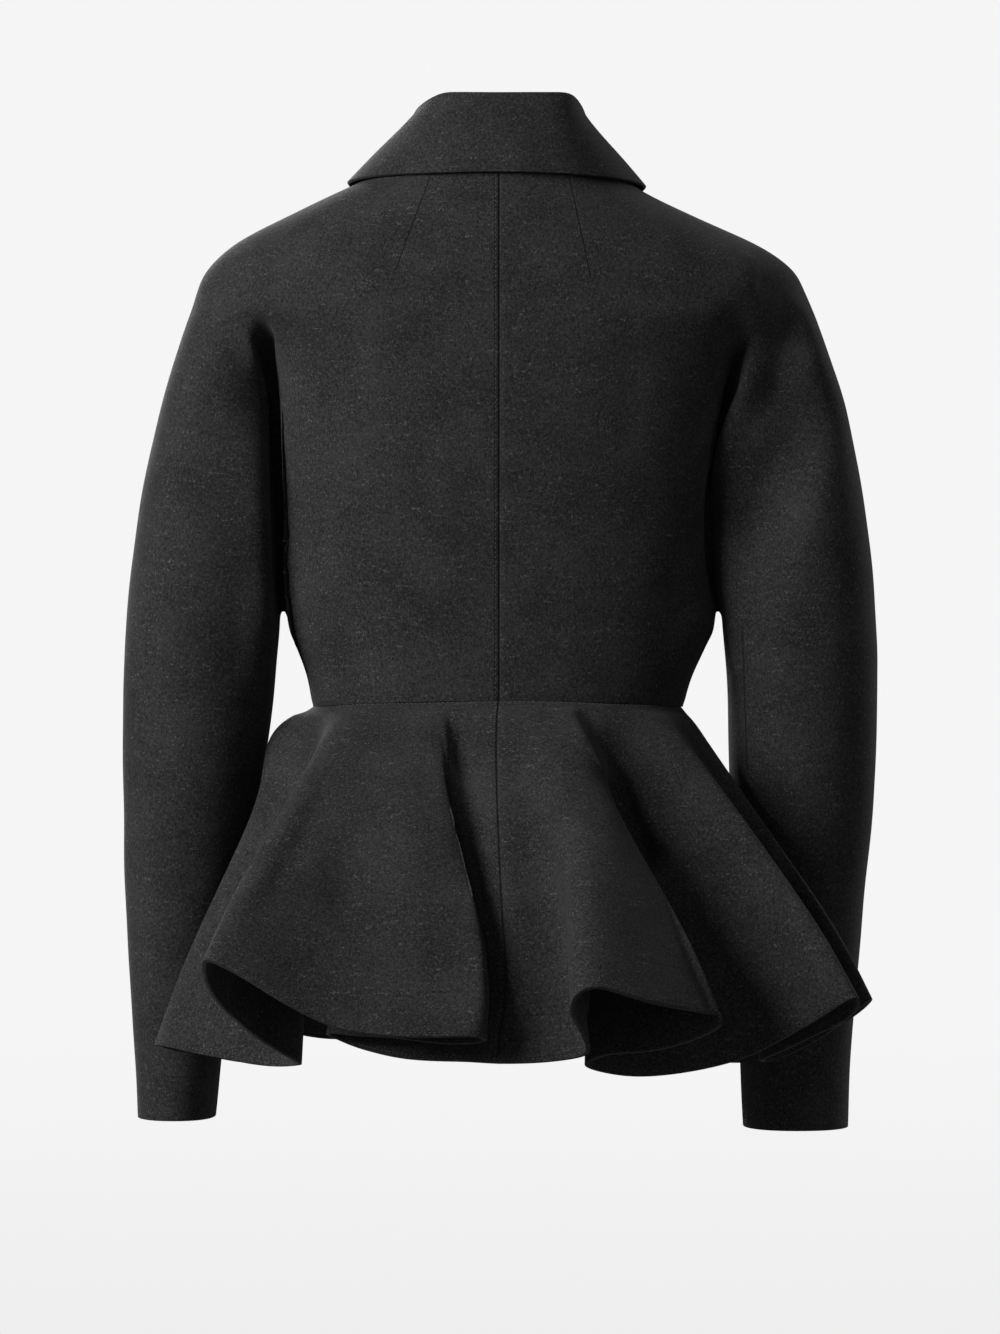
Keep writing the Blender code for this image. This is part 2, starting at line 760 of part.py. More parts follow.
def main():
    clear_scene()
    for face in ("back", "front"):
        for side in ("left", "right"):
            shade = 0.030 if side == "left" else 0.034
            make_bodice_quarter(side, face, cloth_material("wool_bodice_" + face + "_" + side, shade))
            make_peplum_panel(side, face, cloth_material("wool_peplum_" + face + "_" + side, shade))
    make_collar(cloth_material("wool_collar", 0.028))
    horn = cloth_material("button_horn", 0.02)
    horn.node_tree.nodes["Principled BSDF"].inputs["Roughness"].default_value = 0.35
    for index, z in enumerate(BUTTON_HEIGHTS, start=1):
        make_button(index, z, horn)


main()
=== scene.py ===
# A peplum jacket of heavy charcoal wool in its worn form, seen from the back.
# The jacket faces -Y, the wearer's left is +X, and the frame is in metres.

import json
import math

import bmesh
import bpy
import numpy as np
from mathutils import Matrix, Vector
from mathutils.bvhtree import BVHTree
from mathutils.kdtree import KDTree

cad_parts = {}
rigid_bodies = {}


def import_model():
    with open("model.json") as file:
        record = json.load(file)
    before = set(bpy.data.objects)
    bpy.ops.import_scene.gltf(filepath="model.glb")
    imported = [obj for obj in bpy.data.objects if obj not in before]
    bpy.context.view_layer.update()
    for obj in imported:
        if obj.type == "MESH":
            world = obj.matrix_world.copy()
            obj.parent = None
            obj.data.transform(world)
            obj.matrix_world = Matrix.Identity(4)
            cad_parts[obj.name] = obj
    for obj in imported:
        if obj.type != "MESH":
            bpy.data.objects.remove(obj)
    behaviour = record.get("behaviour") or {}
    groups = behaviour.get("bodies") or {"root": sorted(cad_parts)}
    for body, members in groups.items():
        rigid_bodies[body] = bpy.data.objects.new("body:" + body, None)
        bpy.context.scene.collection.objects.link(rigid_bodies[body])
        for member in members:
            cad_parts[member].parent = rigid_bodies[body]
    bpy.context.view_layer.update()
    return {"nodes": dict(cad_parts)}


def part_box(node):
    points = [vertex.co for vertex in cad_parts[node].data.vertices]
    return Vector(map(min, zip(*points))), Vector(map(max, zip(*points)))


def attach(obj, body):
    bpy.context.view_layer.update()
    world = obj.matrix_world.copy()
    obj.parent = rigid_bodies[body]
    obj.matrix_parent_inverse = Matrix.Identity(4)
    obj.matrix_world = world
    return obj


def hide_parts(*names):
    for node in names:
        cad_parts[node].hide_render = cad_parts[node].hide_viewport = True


for thing in list(bpy.data.objects):
    bpy.data.objects.remove(thing, do_unlink=True)
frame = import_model()
mm = 0.001

# Camera, light and floor

view = {
    "from": (-0.0007, 3.6, -0.372),
    "turn": (90, 0, 180),
    "sensor": 36.0,
    "lens": 36.0 * 5143 / 1334,    # 5143 pixels of focal length, in a picture 1334 pixels high
    "far": 200,
}
studio = {
    "air": 0.17,           # light from all round
    "pale": 0.915,         # the backdrop, as the camera sees it
    "paleLow": 0.845,
    "floorHeight": -1.42,
    "lowRadius": 1.5,
    "radius": 12.0,
}
lamps = (
    {"name": "keyLamp", "from": (2.45, 1.62, 0.9), "to": (0.05, 0.0, -0.33), "size": 1.8, "power": 112},
    {"name": "frontLamp", "from": (1.2, -2.8, 1.0), "to": (0.0, 0.0, -0.3), "size": 1.6, "power": 80},
    {"name": "sideLamp", "from": (-2.4, -1.9, 0.8), "to": (0.0, 0.0, -0.3), "size": 1.6, "power": 22},
)


def grey(tone):
    return (tone, tone, tone, 1)


def newHolder(name, content):
    holder = bpy.data.objects.new(name, content)
    bpy.context.scene.collection.objects.link(holder)
    return holder


def setCamera():
    camera = bpy.data.cameras.new("camera")
    camera.sensor_fit = "VERTICAL"
    camera.sensor_height = view["sensor"]
    camera.lens = view["lens"]
    camera.clip_end = view["far"]
    holder = newHolder("camera", camera)
    holder.location = view["from"]
    holder.rotation_euler = [math.radians(angle) for angle in view["turn"]]
    bpy.context.scene.camera = holder


def setLamps():
    for lamp in lamps:
        light = bpy.data.lights.new(lamp["name"], "AREA")
        light.shape = "DISK"
        light.size = lamp["size"]
        light.energy = lamp["power"]
        holder = newHolder(lamp["name"], light)
        holder.location = lamp["from"]
        aim = Vector(lamp["to"]) - Vector(lamp["from"])
        holder.rotation_euler = aim.to_track_quat("-Z", "Y").to_euler()
    world = bpy.data.worlds.new("paleAir")
    world.use_nodes = True
    world.node_tree.nodes["Background"].inputs["Color"].default_value = grey(studio["air"])
    bpy.context.scene.world = world
    bpy.context.scene.view_settings.view_transform = "Standard"


# Materials: a wire is a socket that takes part in sums, and each operator adds its own node

class Wire:
    def __init__(self, paint, socket):
        self.paint = paint
        self.socket = socket

    def __add__(self, other):
        return self.paint.maths("ADD", self, other)

    def __sub__(self, other):
        return self.paint.maths("SUBTRACT", self, other)

    def __rsub__(self, other):
        return self.paint.maths("SUBTRACT", other, self)

    def __mul__(self, other):
        return self.paint.maths("MULTIPLY", self, other)

    def between(self, low, high):
        return self.paint.maths("MINIMUM", self.paint.maths("MAXIMUM", self, low), high)


class Paint:
    def __init__(self, name):
        self.material = bpy.data.materials.new(name)
        self.material.use_nodes = True
        self.tree = self.material.node_tree
        self.shader = self.tree.nodes["Principled BSDF"]

    def fill(self, target, inputs):
        for key, value in inputs.items():
            if isinstance(value, Wire):
                self.tree.links.new(value.socket, target.inputs[key])
            else:
                target.inputs[key].default_value = value

    def node(self, kind, settings, inputs, output=0):
        made = self.tree.nodes.new(kind)
        for key, value in settings.items():
            setattr(made, key, value)
        self.fill(made, inputs)
        return Wire(self, made.outputs[output])

    def maths(self, operation, first, second):
        return self.node("ShaderNodeMath", {"operation": operation}, {0: first, 1: second})

    def vectors(self, operation, first, second, output="Vector"):
        return self.node("ShaderNodeVectorMath", {"operation": operation}, {0: first, 1: second}, output)

    def place(self):
        return self.node("ShaderNodeTexCoord", {}, {}, "Object")

    def attribute(self, name):
        return self.node("ShaderNodeAttribute", {"attribute_name": name}, {}, "Fac")

    def noise(self, place, stretch, size, detail, rough):
        spot = self.node("ShaderNodeMapping", {}, {"Vector": place, "Scale": stretch})
        inputs = {"Vector": spot, "Scale": 1 / (size * mm), "Detail": detail, "Roughness": rough}
        return self.node("ShaderNodeTexNoise", {}, inputs, 0)

    def ramped(self, value, low, high):
        inputs = {"Value": value, "From Min": low, "From Max": high}
        return self.node("ShaderNodeMapRange", {"interpolation_type": "SMOOTHSTEP"}, inputs, 0)

    def mixed(self, factor, first, second):
        return self.node("ShaderNodeMix", {"data_type": "RGBA"}, {0: factor, 6: first, 7: second}, 2)

    def bump(self, height, strength, distance):
        inputs = {"Height": height, "Strength": strength, "Distance": distance * mm}
        return self.node("ShaderNodeBump", {}, inputs)

    def finish(self, inputs):
        self.fill(self.shader, inputs)
        return self.material


wool = {
    "dark": (0.0085, 0.0085, 0.0088, 1),
    "light": (0.037, 0.037, 0.0375, 1),
    "fleck": (0.13, 0.13, 0.132, 1),
    # the colour of painted shade, laid along the grooves of darts, seams, rows of stitches and the top of the
    # turned-up hem
    "lineShade": (0.003, 0.003, 0.003, 1),
    "melange": 1.5,        # sizes of the mottling, from here to the puckers along a stitched edge, mm
    "fibre": 0.85,
    "slub": 2.0,
    "cloud": 34,
    "pucker": 6,
    "roughness": 0.92,
    "sheen": 0.06,
    "sheenRoughness": 0.45,
    "nap": 0.5,            # height of the nap and weave, mm
    "napStrength": 0.55,
    "seamLine": 0.55,      # half width of a sewn line's groove, mm
    "hemDepth": 31,        # where the turned-up hem ends inside
}
# how much painted shade each kind of line mixes into the colour, for the shade in its groove, and how deep its bumped
# groove is
lineLooks = {"sewn": (0.75, 1.6), "seam": (0.8, 1.8), "stitched": (0.38, 1.0), "hem": (0.16, 0.5)}
# how far the rows of stitches run from the edge, mm
oneRow = (2.6,)
collarRows = (2.6, 8.2)
# the distances to the cloth's edges, kept with each vert
awayNames = ("seamAway", "edgeAway", "hemAway")


def woolMaterial(name, sewnLines=(), rows=oneRow):
    paint = Paint(name)
    place = paint.place()
    upright = paint.noise(place, (1, 1, 0.42), wool["fibre"], 2, 0.6)
    level = paint.noise(place, (0.42, 0.42, 1), wool["fibre"], 2, 0.6)
    melange = paint.noise(place, (1, 1, 0.7), wool["melange"], 2, 0.55)
    slub = paint.noise(place, (0.16, 0.16, 1), wool["slub"], 1, 0.5)
    cloud = paint.noise(place, (1, 1, 1), wool["cloud"], 2, 0.5)
    mottle = upright * 0.6 + level * 0.5 + melange * 0.6 + cloud * 0.3
    tone = paint.ramped(mottle, 0.78, 1.22)
    flecks = paint.ramped(upright * 0.5 + level * 0.5 + slub * 0.35, 0.75, 0.90)
    colour = paint.mixed(tone, wool["dark"], wool["light"])
    colour = paint.mixed(flecks * 0.6, colour, wool["fleck"])
    height = mottle * 0.5 + flecks * 0.25
    # lines of painted shade, for the shade in the grooves of the darts, seams, rows of stitches and the hem's top
    lines = []
    for start, end, side in sewnLines:
        flat = paint.vectors("MULTIPLY", place, (1, 0, 1))
        start, end = Vector(start) * mm, Vector(end) * mm
        run = end - start
        fromStart = paint.vectors("SUBTRACT", flat, start)
        along = paint.vectors("DOT_PRODUCT", fromStart, run / run.length_squared, "Value")
        nearest = paint.node("ShaderNodeVectorMath", {"operation": "SCALE"}, {0: run, "Scale": along.between(0, 1)})
        away = paint.vectors("DISTANCE", fromStart, nearest, "Value")
        depth = paint.vectors("DOT_PRODUCT", place, (0, side, 0), "Value")
        line = paint.ramped(wool["seamLine"] * mm - away, -0.1 * mm, 0.35 * mm) * paint.ramped(depth, 0, 0.02)
        lines.append((line, "sewn"))
    seamAway, edgeAway, hemAway = [paint.attribute(key) for key in awayNames]
    lines.append((paint.ramped(seamAway, 0.95, 0.3), "seam"))
    for row in rows:
        near = paint.maths("ABSOLUTE", edgeAway - row, 0)
        lines.append((paint.ramped(near, 0.75, 0.15), "stitched"))
    turned = paint.maths("ABSOLUTE", hemAway - wool["hemDepth"], 0)
    lines.append((paint.ramped(turned, 1.1, 0.1) * paint.ramped(cloud, 0.4, 0.55), "hem"))
    # each line mixes painted shade into the colour, standing in for the shade in its groove, and sinks the bump
    for line, kind in lines:
        dark, depth = lineLooks[kind]
        colour = paint.mixed(line * dark, colour, wool["lineShade"])
        height = height - line * depth
    pucker = paint.noise(place, (1, 1, 1), wool["pucker"], 1, 0.5) * paint.ramped(edgeAway, 9, 2.6)
    height = height + pucker * 1.6
    return paint.finish({
        "Base Color": colour,
        "Roughness": wool["roughness"],
        "Specular IOR Level": 0.25,
        "Sheen Weight": wool["sheen"],
        "Sheen Roughness": wool["sheenRoughness"],
        "Sheen Tint": (0.8, 0.8, 0.82, 1),
        "Normal": paint.bump(height, wool["napStrength"], wool["nap"]),
    })


def threadMaterial():
    paint = Paint("thread")
    place = paint.place()
    twist = paint.noise(place, (1, 1, 1), 0.5, 1, 0.5)
    colour = paint.mixed(paint.ramped(twist, 0.3, 0.7), (0.022, 0.022, 0.023, 1), (0.075, 0.075, 0.078, 1))
    bump = paint.bump(twist, 0.5, 0.1)
    return paint.finish({"Base Color": colour, "Roughness": 0.6, "Sheen Weight": 0.2, "Normal": bump})


def hornMaterial():
    paint = Paint("horn")
    place = paint.place()
    streak = paint.noise(place, (1, 1, 0.35), 4.5, 3, 0.6)
    colour = paint.mixed(paint.ramped(streak, 0.35, 0.7), (0.006, 0.006, 0.006, 1), (0.035, 0.031, 0.028, 1))
    rough = paint.ramped(streak, 0.2, 0.8) * 0.15 + 0.28
    return paint.finish({"Base Color": colour, "Roughness": rough, "Coat Weight": 0.15})


def paleMaterial():
    # an even glow, a little lower on the floor close by
    paint = Paint("paleBackdrop")
    away = paint.node("ShaderNodeVectorMath", {"operation": "LENGTH"}, {0: paint.place()}, "Value")
    share = paint.ramped(away, studio["lowRadius"], studio["radius"])
    glow = paint.mixed(share, grey(studio["paleLow"]), grey(studio["pale"]))
    return paint.finish({"Base Color": grey(0), "Specular IOR Level": 0.0, "Emission Strength": 1.0,
                         "Emission Color": glow})


def makeStage():
    # a wide floor and the pale room round it: both are there for the camera alone and cast no light
    pale = paleMaterial()
    ground = bmesh.new()
    bmesh.ops.create_circle(ground, cap_ends=True, segments=96, radius=studio["radius"])
    bmesh.ops.translate(ground, vec=(0, 0, studio["floorHeight"]), verts=ground.verts)
    room = bmesh.new()
    bmesh.ops.create_uvsphere(room, u_segments=48, v_segments=24, radius=studio["radius"])
    bmesh.ops.reverse_faces(room, faces=room.faces)
    for holder in (newObject("floor", ground, pale), newObject("room", room, pale)):
        for ray in ("diffuse", "glossy", "shadow", "transmission"):
            setattr(holder, "visible_" + ray, False)


def newMesh(name, shape):
    mesh = bpy.data.meshes.new(name)
    shape.to_mesh(mesh)
    shape.free()
    return mesh


def newObject(name, shape, material):
    mesh = newMesh(name, shape)
    mesh.shade_smooth()
    mesh.materials.clear()
    mesh.materials.append(material)
    return newHolder(name, mesh)


def opened(mesh):
    shape = bmesh.new()
    shape.from_mesh(mesh)
    return shape


def treeOf(mesh):
    shape = opened(mesh)
    tree = BVHTree.FromBMesh(shape)
    shape.free()
    return tree


# Cloth sheets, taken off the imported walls

cloth = {
    "wall": 2.0,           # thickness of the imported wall, mm
    "slack": 0.006,        # how exact that thickness is
    "shown": 1.9,          # thickness of the shell that shows
    "turnedUp": 1.1,       # how much thicker the hem is
    "hemStep": 3,          # over how far it thickens
    "seamSink": 0.4,       # how far a seam is pressed into the cloth
    "merge": 0.01,         # how near two verts are the same one
    "weld": 0.45,          # the same at the edges of two panels
    "levels": 3,           # the rounding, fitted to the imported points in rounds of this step
    "rounds": 5,
    "step": 0.9,
    "edgeRound": 0.5,
    "far": 60,             # distances to an edge are measured up to here
}
# the turn of a straight edge, in degrees: all others are corners
straight = (125, 225)


def crossesWall(edge):
    # an edge through the cloth's thickness, at its rim
    if abs(edge.calc_length() - cloth["wall"] * mm) > cloth["slack"] * mm:
        return False
    way = (edge.verts[1].co - edge.verts[0].co).normalized()
    return all(abs(vert.normal.dot(way)) > 0.35 for vert in edge.verts)


def islands(shape):
    left = set(shape.faces)
    found = []
    while left:
        island = [left.pop()]
        for face in island:
            for edge in face.edges:
                for other in edge.link_faces:
                    if other in left:
                        left.discard(other)
                        island.append(other)
        found.append(island)
    return found


def outwardness(faces):
    total = 0
    for face in faces:
        centre = face.calc_center_median()
        away = Vector((centre.x, centre.y, 0)).normalized() + Vector((0, 0, 1))
        total += face.calc_area() * face.normal.dot(away)
    return total


def borderRuns(shape):
    # the sheet's raw edges, one run of verts between each two corners, with the cloth on its left
    def isCorner(vert):
        turn = math.degrees(sum(loop.calc_angle() for loop in vert.link_loops))
        return vert.is_boundary and not straight[0] < turn < straight[1]

    corners = [vert for vert in shape.verts if isCorner(vert)]
    known = set(corners)
    runs = []
    for corner in corners:
        for edge in corner.link_edges:
            if edge.is_boundary and edge.link_loops[0].vert == corner:
                here, run = corner, [corner]
                while True:
                    here = edge.other_vert(here)
                    run.append(here)
                    if here in known:
                        break
                    edge = next(other for other in here.link_edges if other.is_boundary and other != edge)
                runs.append(run)
    return runs


def meanHeight(run):
    return sum(vert.co.z for vert in run) / len(run)


def lowest(runs):
    return min(runs, key=meanHeight)


def highest(runs):
    return max(runs, key=meanHeight)


def nearestMiddle(runs):
    return min(runs, key=lambda run: sum(abs(vert.co.x) for vert in run) / len(run))


def joinStrips(shape):
    # two triangles at a time become a quad, strip by strip from the top row, so that the cloth is a grid
    top = highest(borderRuns(shape))
    rows = {vert: 0 for vert in top}
    reached = list(top)
    for vert in reached:
        for edge in vert.link_edges:
            other = edge.other_vert(vert)
            if other not in rows:
                rows[other] = rows[vert] + 1
                reached.append(other)

    def isRung(edge):
        return rows[edge.verts[0]] != rows[edge.verts[1]]

    diagonals = []
    seen = set()
    for rung in [edge for edge in shape.edges if edge.is_boundary and isRung(edge)]:
        face = rung.link_faces[0]
        while face and face not in seen:
            diagonal = next(edge for edge in face.edges if edge != rung and isRung(edge))
            other = next(beside for beside in diagonal.link_faces if beside != face)
            seen.update((face, other))
            diagonals.append(diagonal)
            rung = next(edge for edge in other.edges if edge != diagonal and isRung(edge))
            face = next((beside for beside in rung.link_faces if beside != other), None)
    bmesh.ops.dissolve_edges(shape, edges=diagonals, use_verts=False, use_face_split=False)


def outerSheet(node):
    shape = opened(frame["nodes"][node].data)
    bmesh.ops.remove_doubles(shape, verts=shape.verts, dist=cloth["merge"] * mm)
    rim = {face for edge in shape.edges if crossesWall(edge) for face in edge.link_faces}
    bmesh.ops.delete(shape, geom=list(rim), context="FACES")
    kept = max(islands(shape), key=outwardness)
    bmesh.ops.delete(shape, geom=list(set(shape.faces) - set(kept)), context="FACES")
    joinStrips(shape)
    return shape


def readPoints(mesh):
    points = np.zeros(len(mesh.vertices) * 3)
    mesh.vertices.foreach_get("co", points)
    return points.reshape(-1, 3)


def writePoints(mesh, points):
    mesh.vertices.foreach_set("co", np.ascontiguousarray(points, dtype=np.float32).ravel())
    mesh.update()


def readNormals(mesh):
    normals = np.zeros(len(mesh.vertices) * 3)
    mesh.vertex_normals.foreach_get("vector", normals)
    return normals.reshape(-1, 3)


def evaluated(holder):
    bpy.context.view_layer.update()
    ready = holder.evaluated_get(bpy.context.evaluated_depsgraph_get())
    return bpy.data.meshes.new_from_object(ready)


def sewnTogether(name, panels):
    # the panels' outer sheets welded along their seams, then rounded so that the cloth passes through every point
    whole = bmesh.new()
    for index, panel in enumerate(panels):
        sheet = outerSheet(panel)
        for face in sheet.faces:
            face.material_index = index
        whole.from_mesh(newMesh(panel + "Sheet", sheet))
    edges = [vert for vert in whole.verts if vert.is_boundary]
    bmesh.ops.remove_doubles(whole, verts=edges, dist=cloth["weld"] * mm)
    cage = newMesh(name + "Cage", whole)
    holder = newHolder(name + "Cage", cage)
    rounding = holder.modifiers.new("rounding", "SUBSURF")
    rounding.boundary_smooth = "PRESERVE_CORNERS"
    rounding.levels = rounding.render_levels = 1
    wanted = readPoints(cage)
    points = wanted.copy()
    for turn in range(cloth["rounds"]):
        reached = readPoints(evaluated(holder))[:len(wanted)]
        points += (wanted - reached) * cloth["step"]
        writePoints(cage, points)
    rounding.levels = rounding.render_levels = cloth["levels"]
    fine = evaluated(holder)
    bpy.data.objects.remove(holder)
    print(name, "has", len(fine.polygons), "quads in", len(panels), "panels")
    return fine


# Folds: each is a soft trough (depth below 0) or ridge along a path on the cloth.
# A path is seen from one side, as (across, height) in mm: across is x from the back and front, y from the sides.

seenFrom = {
    "back": lambda across, height: ((across, 1.0, height), (0, -1, 0)),
    "front": lambda across, height: ((across, -1.0, height), (0, 1, 0)),
    "left": lambda across, height: ((1.0, across, height), (-1, 0, 0)),
    "right": lambda across, height: ((-1.0, across, height), (1, 0, 0)),
}


# the points along a path, how many widths a fold reaches, and the waves of the slow unevenness in mm
pressing = {"steps": 24, "reach": 2.6, "drape": (62, 88, 71, 130, 54)}


def lengthsAlong(points):
    return np.concatenate(([0], np.cumsum(np.linalg.norm(np.diff(points, axis=0), axis=1))))


def spotsAlong(points, lengths, wanted):
    return np.stack([np.interp(wanted, lengths, values) for values in points.T], axis=1)


def smoothPath(points, count):
    # evenly spread points on a smooth curve through the given ones
    points = np.array(points, float)
    padded = np.vstack((2 * points[0] - points[1], points, 2 * points[-1] - points[-2]))
    curve = []
    for index in range(1, len(padded) - 2):
        before, start, end, after = padded[index - 1:index + 3]
        for t in np.linspace(0, 1, 16, endpoint=index == len(padded) - 3):
            curve.append(0.5 * (2 * start + (end - before) * t + (2 * before - 5 * start + 4 * end - after) * t ** 2
                                + (3 * start - before - 3 * end + after) * t ** 3))
    curve = np.array(curve)
    lengths = lengthsAlong(curve)
    return spotsAlong(curve, lengths, np.linspace(0, lengths[-1], count))


def hitCloth(tree, seen, spot):
    origin, way = seenFrom[seen](*[value * mm for value in spot])
    return tree.ray_cast(Vector(origin), Vector(way))[0]


def layOnCloth(tree, seen, path):
    hits = [hitCloth(tree, seen, spot) for spot in smoothPath(path, pressing["steps"])]
    return np.array([hit for hit in hits if hit])


def shareNear(points, tree, seen, spot, reach):
    # how much of what is done at a spot each point takes
    away = np.linalg.norm(points - np.array(hitCloth(tree, seen, spot)), axis=1) / (reach * mm)
    return np.exp(-away ** 2)


def foldAmount(points, normals, fold, tree):
    path = layOnCloth(tree, fold["seen"], fold["path"])
    amount = np.zeros(len(points))
    if len(path) < 2:
        return amount
    widest = max(fold["width"]) * mm * pressing["reach"]
    near = np.all((points > path.min(0) - widest) & (points < path.max(0) + widest), axis=1)
    chosen = points[near]
    best = np.full(len(chosen), 1e9)
    share = np.zeros(len(chosen))
    side = np.zeros(len(chosen))
    for index in range(len(path) - 1):
        start, run = path[index], path[index + 1] - path[index]
        t = np.clip((chosen - start) @ run / max(run @ run, 1e-12), 0, 1)
        away = chosen - start - t[:, None] * run
        distance = np.linalg.norm(away, axis=1)
        closer = distance < best
        best = np.where(closer, distance, best)
        share = np.where(closer, (index + t) / (len(path) - 1), share)
        beside = np.einsum("ij,ij->i", np.cross(np.broadcast_to(run, chosen.shape), normals[near]), away)
        side = np.where(closer, np.sign(beside), side)
    width = np.where(side > 0, fold["width"][0], fold["width"][1]) * mm
    fadeIn, fadeOut = fold["fade"]
    rise = np.clip(share / max(fadeIn, 1e-6), 0, 1) * np.clip((1 - share) / max(fadeOut, 1e-6), 0, 1)
    rise = rise * rise * (3 - 2 * rise)
    amount[near] = fold["depth"] * mm * np.exp(-(best / width) ** 2) * rise
    return amount


def drape(points, amount, seed):
    # slow unevenness of hanging cloth
    total = np.zeros(len(points))
    chance = np.random.default_rng(seed)
    for size in pressing["drape"]:
        way = chance.normal(size=3)
        way *= 2 * math.pi / (size * mm) / np.linalg.norm(way)
        total += np.sin(points @ way + chance.uniform(0, 6.28))
    return total * amount * mm / len(pressing["drape"])


def pressFolds(mesh, folds, unevenness, seed):
    points, normals, tree = readPoints(mesh), readNormals(mesh), treeOf(mesh)
    moved = normals * drape(points, unevenness, seed)[:, None]
    for fold in folds:
        way = normals if fold["way"] is None else np.array(fold["way"], float)
        moved = moved + foldAmount(points, normals, fold, tree)[:, None] * way
    writePoints(mesh, points + moved)


# the sideways move of a fold fades over this depth in front of the middle, mm
slideDepth = 25
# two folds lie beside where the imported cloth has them: how far they move sideways at each height, mm
rightCrease = {
    "heights": (-150, -191, -224, -258, -289, -316, -336),
    "at": (-160, -158, -154, -152, -151, -151, -151),
    "shift": (0, 2, 6, 8, 7, 4, 0),
    "reach": 24,
}
backCrest = {
    "heights": (-396, -410, -433, -472, -512, -553, -585, -612),
    "at": (42, 43, 45, 39, 33, 24, 16, 9),
    "shift": (0, -6, -11, -12, -12, -12, -7, 0),
    "reach": 22,
}
# the waist, as the part of the cloth where bodice and peplum are sewn to each other
waist = {"halfWidth": 145, "low": -410, "high": -380}
collarCorners = (
    {"at": (44, 20), "move": (-3.2, 1.0), "reach": 11},
    {"at": (-47, 20), "move": (-2.4, 2.2), "reach": 10},
)


def slideFold(mesh, slide):
    points = readPoints(mesh)
    across, depth, height = points.T / mm
    down = [-value for value in slide["heights"]]
    at, shift = [np.interp(-height, down, slide[key]) for key in ("at", "shift")]
    behind = np.clip((depth + slideDepth) / slideDepth, 0, 1)
    points[:, 0] += shift * mm * behind * np.exp(-((across - at) / slide["reach"]) ** 2)
    writePoints(mesh, points)


def pullCloth(mesh, pulls):
    points, tree = readPoints(mesh), treeOf(mesh)
    moved = np.zeros_like(points)
    for seen, spot, move, reach in pulls:
        moved += shareNear(points, tree, seen, spot, reach)[:, None] * np.array(move) * mm
    writePoints(mesh, points + moved)


evening = {"rounds": 60, "step": 0.7}


def evenOut(mesh, spots):
    # around each spot the points move towards the mean of their neighbours
    points, tree = readPoints(mesh), treeOf(mesh)
    ends = np.zeros(len(mesh.edges) * 2, dtype=np.int32)
    mesh.edges.foreach_get("vertices", ends)
    others = ends.reshape(-1, 2)[:, ::-1].ravel()
    count = np.bincount(ends, minlength=len(points))[:, None]
    share = np.max([shareNear(points, tree, *spot) for spot in spots], axis=0)[:, None]
    for turn in range(evening["rounds"]):
        mean = np.stack([np.bincount(ends, points[others, axis], len(points)) for axis in range(3)], axis=1) / count
        points += (mean - points) * share * evening["step"]
    writePoints(mesh, points)


# how many rows up the hem's moves reach, the run that evens them out, and the rows where the bulge fades
hem = {"rows": 15, "even": 17, "top": 6}


def shapeHem(mesh):
    # the cloth is a grid of rows, from the hem up to the waist
    shape = opened(mesh)
    row = lowest(borderRuns(shape))
    points = readPoints(mesh)
    seen = set()
    rows = []
    while row[0]:
        rows.append([vert.index for vert in row])
        seen.update(row)
        row = [next((edge.other_vert(vert) for edge in vert.link_edges if edge.other_vert(vert) not in seen), None)
               for vert in row]
    along = np.arange(len(rows[0]))
    known, sideways, upwards = zip(*hemMoves)
    window = np.hanning(hem["even"])[1:-1]
    window /= window.sum()
    moves = [np.convolve(np.pad(np.interp(along, known, each), len(window) // 2, "edge"), window, "valid")
             for each in (sideways, upwards)]
    bulge = sideBulge["out"] * np.exp(-((along - sideBulge["along"]) / sideBulge["wide"]) ** 2)
    for up, indices in enumerate(rows):
        share = math.exp(-(up / hem["rows"]) ** 2)
        fromTop = min((len(rows) - 1 - up) / hem["top"], 1)
        out = math.exp(-((up - sideBulge["up"]) / sideBulge["high"]) ** 2) * fromTop
        points[indices, 0] += (moves[0] * share + bulge * out) * mm
        points[indices, 2] += moves[1] * share * mm
    shape.free()
    writePoints(mesh, points)


def sharpenCorners(mesh):
    # the collar's fold turns a corner at each side of the neck
    points = readPoints(mesh)
    across, depth, height = points.T / mm
    for corner in collarCorners:
        away = np.hypot(across - corner["at"][0], height - corner["at"][1])
        share = np.exp(-(away / corner["reach"]) ** 2)
        points[:, 0] += corner["move"][0] * mm * share
        points[:, 2] += corner["move"][1] * mm * share
    writePoints(mesh, points)


def pair(value):
    return value if isinstance(value, tuple) else (value, value)


def foldsSeen(seen, *rows):
    # a row: the path, the depth, the width on its two sides, the fades at its two ends as shares of its length,
    # and the way that the cloth moves, where that isn't along its normals
    return [{"seen": seen, "path": path, "depth": depth, "width": pair(width), "fade": pair(fade),
             "way": way[0] if way else None} for path, depth, width, fade, *way in rows]


